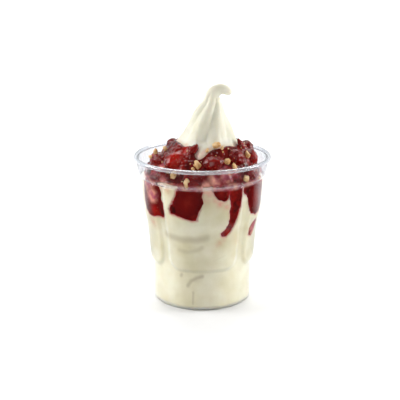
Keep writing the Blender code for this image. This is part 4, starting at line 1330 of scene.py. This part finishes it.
def above_cone(azimuth, height):
    """A place outside the sauce, and the way out of the cone there."""
    found = cone_points(np.array([azimuth]), np.array([height]))
    point, out = (Vector(each[0]) for each in found)
    return point + out * RAY_START, out


def back_nuts(sauce):
    """Nuts at the back, where the CAD sauce stands out as a nut."""
    draw = random.Random(DRAW_SEED)
    built, shown = surface_tree(NODES["strawberry_sauce"].data), surface_tree(sauce)
    spots = []
    for _ in range(BACK_NUTS):
        azimuth = draw.uniform(*BACK_AZIMUTHS)
        above, out = above_cone(azimuth, draw.uniform(*BACK_HEIGHTS))
        size = draw.uniform(*NUT_SIZES)
        best = 0.0
        for nudge in NUT_NUDGES:
            start = above + Vector(round_axis(azimuth + 90.0, nudge, 0.0))
            on_built, on_shown = built.ray_cast(start, -out)[0], shown.ray_cast(start, -out)[0]
            if on_built is None or on_shown is None:
                continue
            stands = (on_built - on_shown).dot(out)
            if stands > best + NUT_STANDS_MORE:
                best, spot = stands, on_shown
        if best > NUT_SHOWS * size:
            spots.append((spot + out * size * NUT_RISE, size))
    return spots


def crumb_spots(sauce):
    """Small crumbs of nut scattered over the sauce."""
    draw = random.Random(DRAW_SEED + 1)
    shown = surface_tree(sauce)
    spots = []
    for _ in range(CRUMBS):
        azimuth, height = draw.uniform(0.0, 360.0), draw.uniform(*CRUMB_HEIGHTS)
        size = draw.uniform(*CRUMB_SIZES)
        start, out = above_cone(azimuth, height)
        spot = shown.ray_cast(start, -out)[0]
        if spot is not None:
            spots.append((spot + out * size * NUT_RISE, size))
    return spots


def inside_cup(spot, size):
    """A nut's place, drawn in to clear the cup's collar."""
    azimuth = math.degrees(math.atan2(spot.x, -spot.y))
    most = float(inner_collar(azimuth, spot.z)) - NUT_REACH * size
    share = min(1.0, most / math.hypot(spot.x, spot.y))
    return Vector((spot.x * share, spot.y * share, spot.z))


def flatten_at_wall(mesh):
    """Set what would stand in the cup's wall back to its inner face."""
    places = vectors(mesh.vertices, "co")
    azimuth, height = azimuths(places), places[:, 2]
    face = np.where(height < LEDGE_FOOT, inner_wall(azimuth, height), inner_collar(azimuth, height))
    set_radius(mesh, places, np.minimum(np.hypot(places[:, 0], places[:, 1]), face - NUT_GAP))


def make_nuts(camera, cream, sauce, berries, material):
    """The chopped nuts and their crumbs on the sauce, as one piece."""
    spots = seen_nuts(camera, [piece.data for piece in (cream, sauce, *berries)])
    spots += back_nuts(sauce.data) + crumb_spots(sauce.data)
    mesh = mesh_from("nuts", [inside_cup(*spot) for spot in spots], [])
    mark(mesh, size=[size for _, size in spots])
    nuts = add_object("nuts", mesh)
    run_nodes(nuts, "Chopped nuts", NUTS, chopped_nuts, material)
    flatten_at_wall(nuts.data)
    return finish_piece(nuts, material, "strawberry_sauce")


# ---- studio


def make_table(material):
    """A plain pale table."""
    corners = [(x, y, -TABLE_GAP) for y in TABLE_Y for x in TABLE_X]
    table = add_object("table", mesh_from("table", corners, [(0, 1, 3, 2)]))
    table.data.materials.append(material)


def make_light(name, place, width, height, power, spread):
    """A soft box that points straight down."""
    light = bpy.data.lights.new(name, "AREA")
    light.shape = "RECTANGLE"
    light.size, light.size_y = width, height
    light.energy = power
    light.spread = math.radians(spread)
    lamp = add_object(name, light)
    lamp.location = place
    return lamp


def make_lights():
    """Soft boxes round the sundae, and others for the table."""
    for box in LIGHTS:
        lamp = make_light(*box)
        way = LIGHTS_AIM - lamp.location
        lamp.rotation_euler = way.to_track_quat("-Z", "Y").to_euler()
    for box in TABLE_LIGHTS:
        make_light(*box).visible_glossy = box is TABLE_LIGHTS[0]


def make_room():
    """A room that is bright behind the sundae and dim in front."""
    world = bpy.data.worlds.new("bright room")
    world.use_nodes = True
    SCENE.world = world
    world.node_tree.nodes.clear()
    add = adder(world.node_tree)
    way = add("ShaderNodeTexCoord")["Generated"]
    back = add("ShaderNodeSeparateXYZ", {0: way})["Y"]
    inputs = {0: back, 1: WORLD_EDGE[0], 2: WORLD_EDGE[1], 3: WORLD_DIM, 4: WORLD_BRIGHT}
    glow = add(RANGE, inputs, interpolation_type="SMOOTHSTEP")[0]
    room = add("ShaderNodeBackground", {"Color": glow, "Strength": 1.0})[0]
    add("ShaderNodeOutputWorld", {"Surface": room})


def make_camera():
    """The camera at the photo's place."""
    camera = bpy.data.cameras.new("camera")
    camera.sensor_width = SENSOR_MM
    camera.lens = FOCAL_PIXELS / PHOTO_PIXELS * SENSOR_MM
    camera.clip_start, camera.clip_end = CAMERA_SEES
    body = add_object("camera", camera)
    body.rotation_euler.x = math.radians(90.0 - CAMERA_ELEVATION)
    back = body.rotation_euler.to_matrix().col[2]
    body.location = CAMERA_AIM + back * CAMERA_DISTANCE
    SCENE.camera = body
    return body


def build():
    """Make the sundae and its studio."""
    SCENE.view_settings.view_transform = "Standard"
    camera = make_camera()
    make_cup(clear_plastic())
    cream = make_cream(soft_serve())
    sauce = make_sauce(syrup())
    flesh = fruit()
    names = sorted(name for name in NODES if name.startswith("strawberry") and name[-1].isdigit())
    berries = [make_berry(name, number, flesh) for number, name in enumerate(names, 1)]
    make_seeds(berries, seed_coat())
    make_nuts(camera, cream, sauce, berries, nut_flesh())
    make_table(table_paper())
    make_lights()
    make_room()


build()
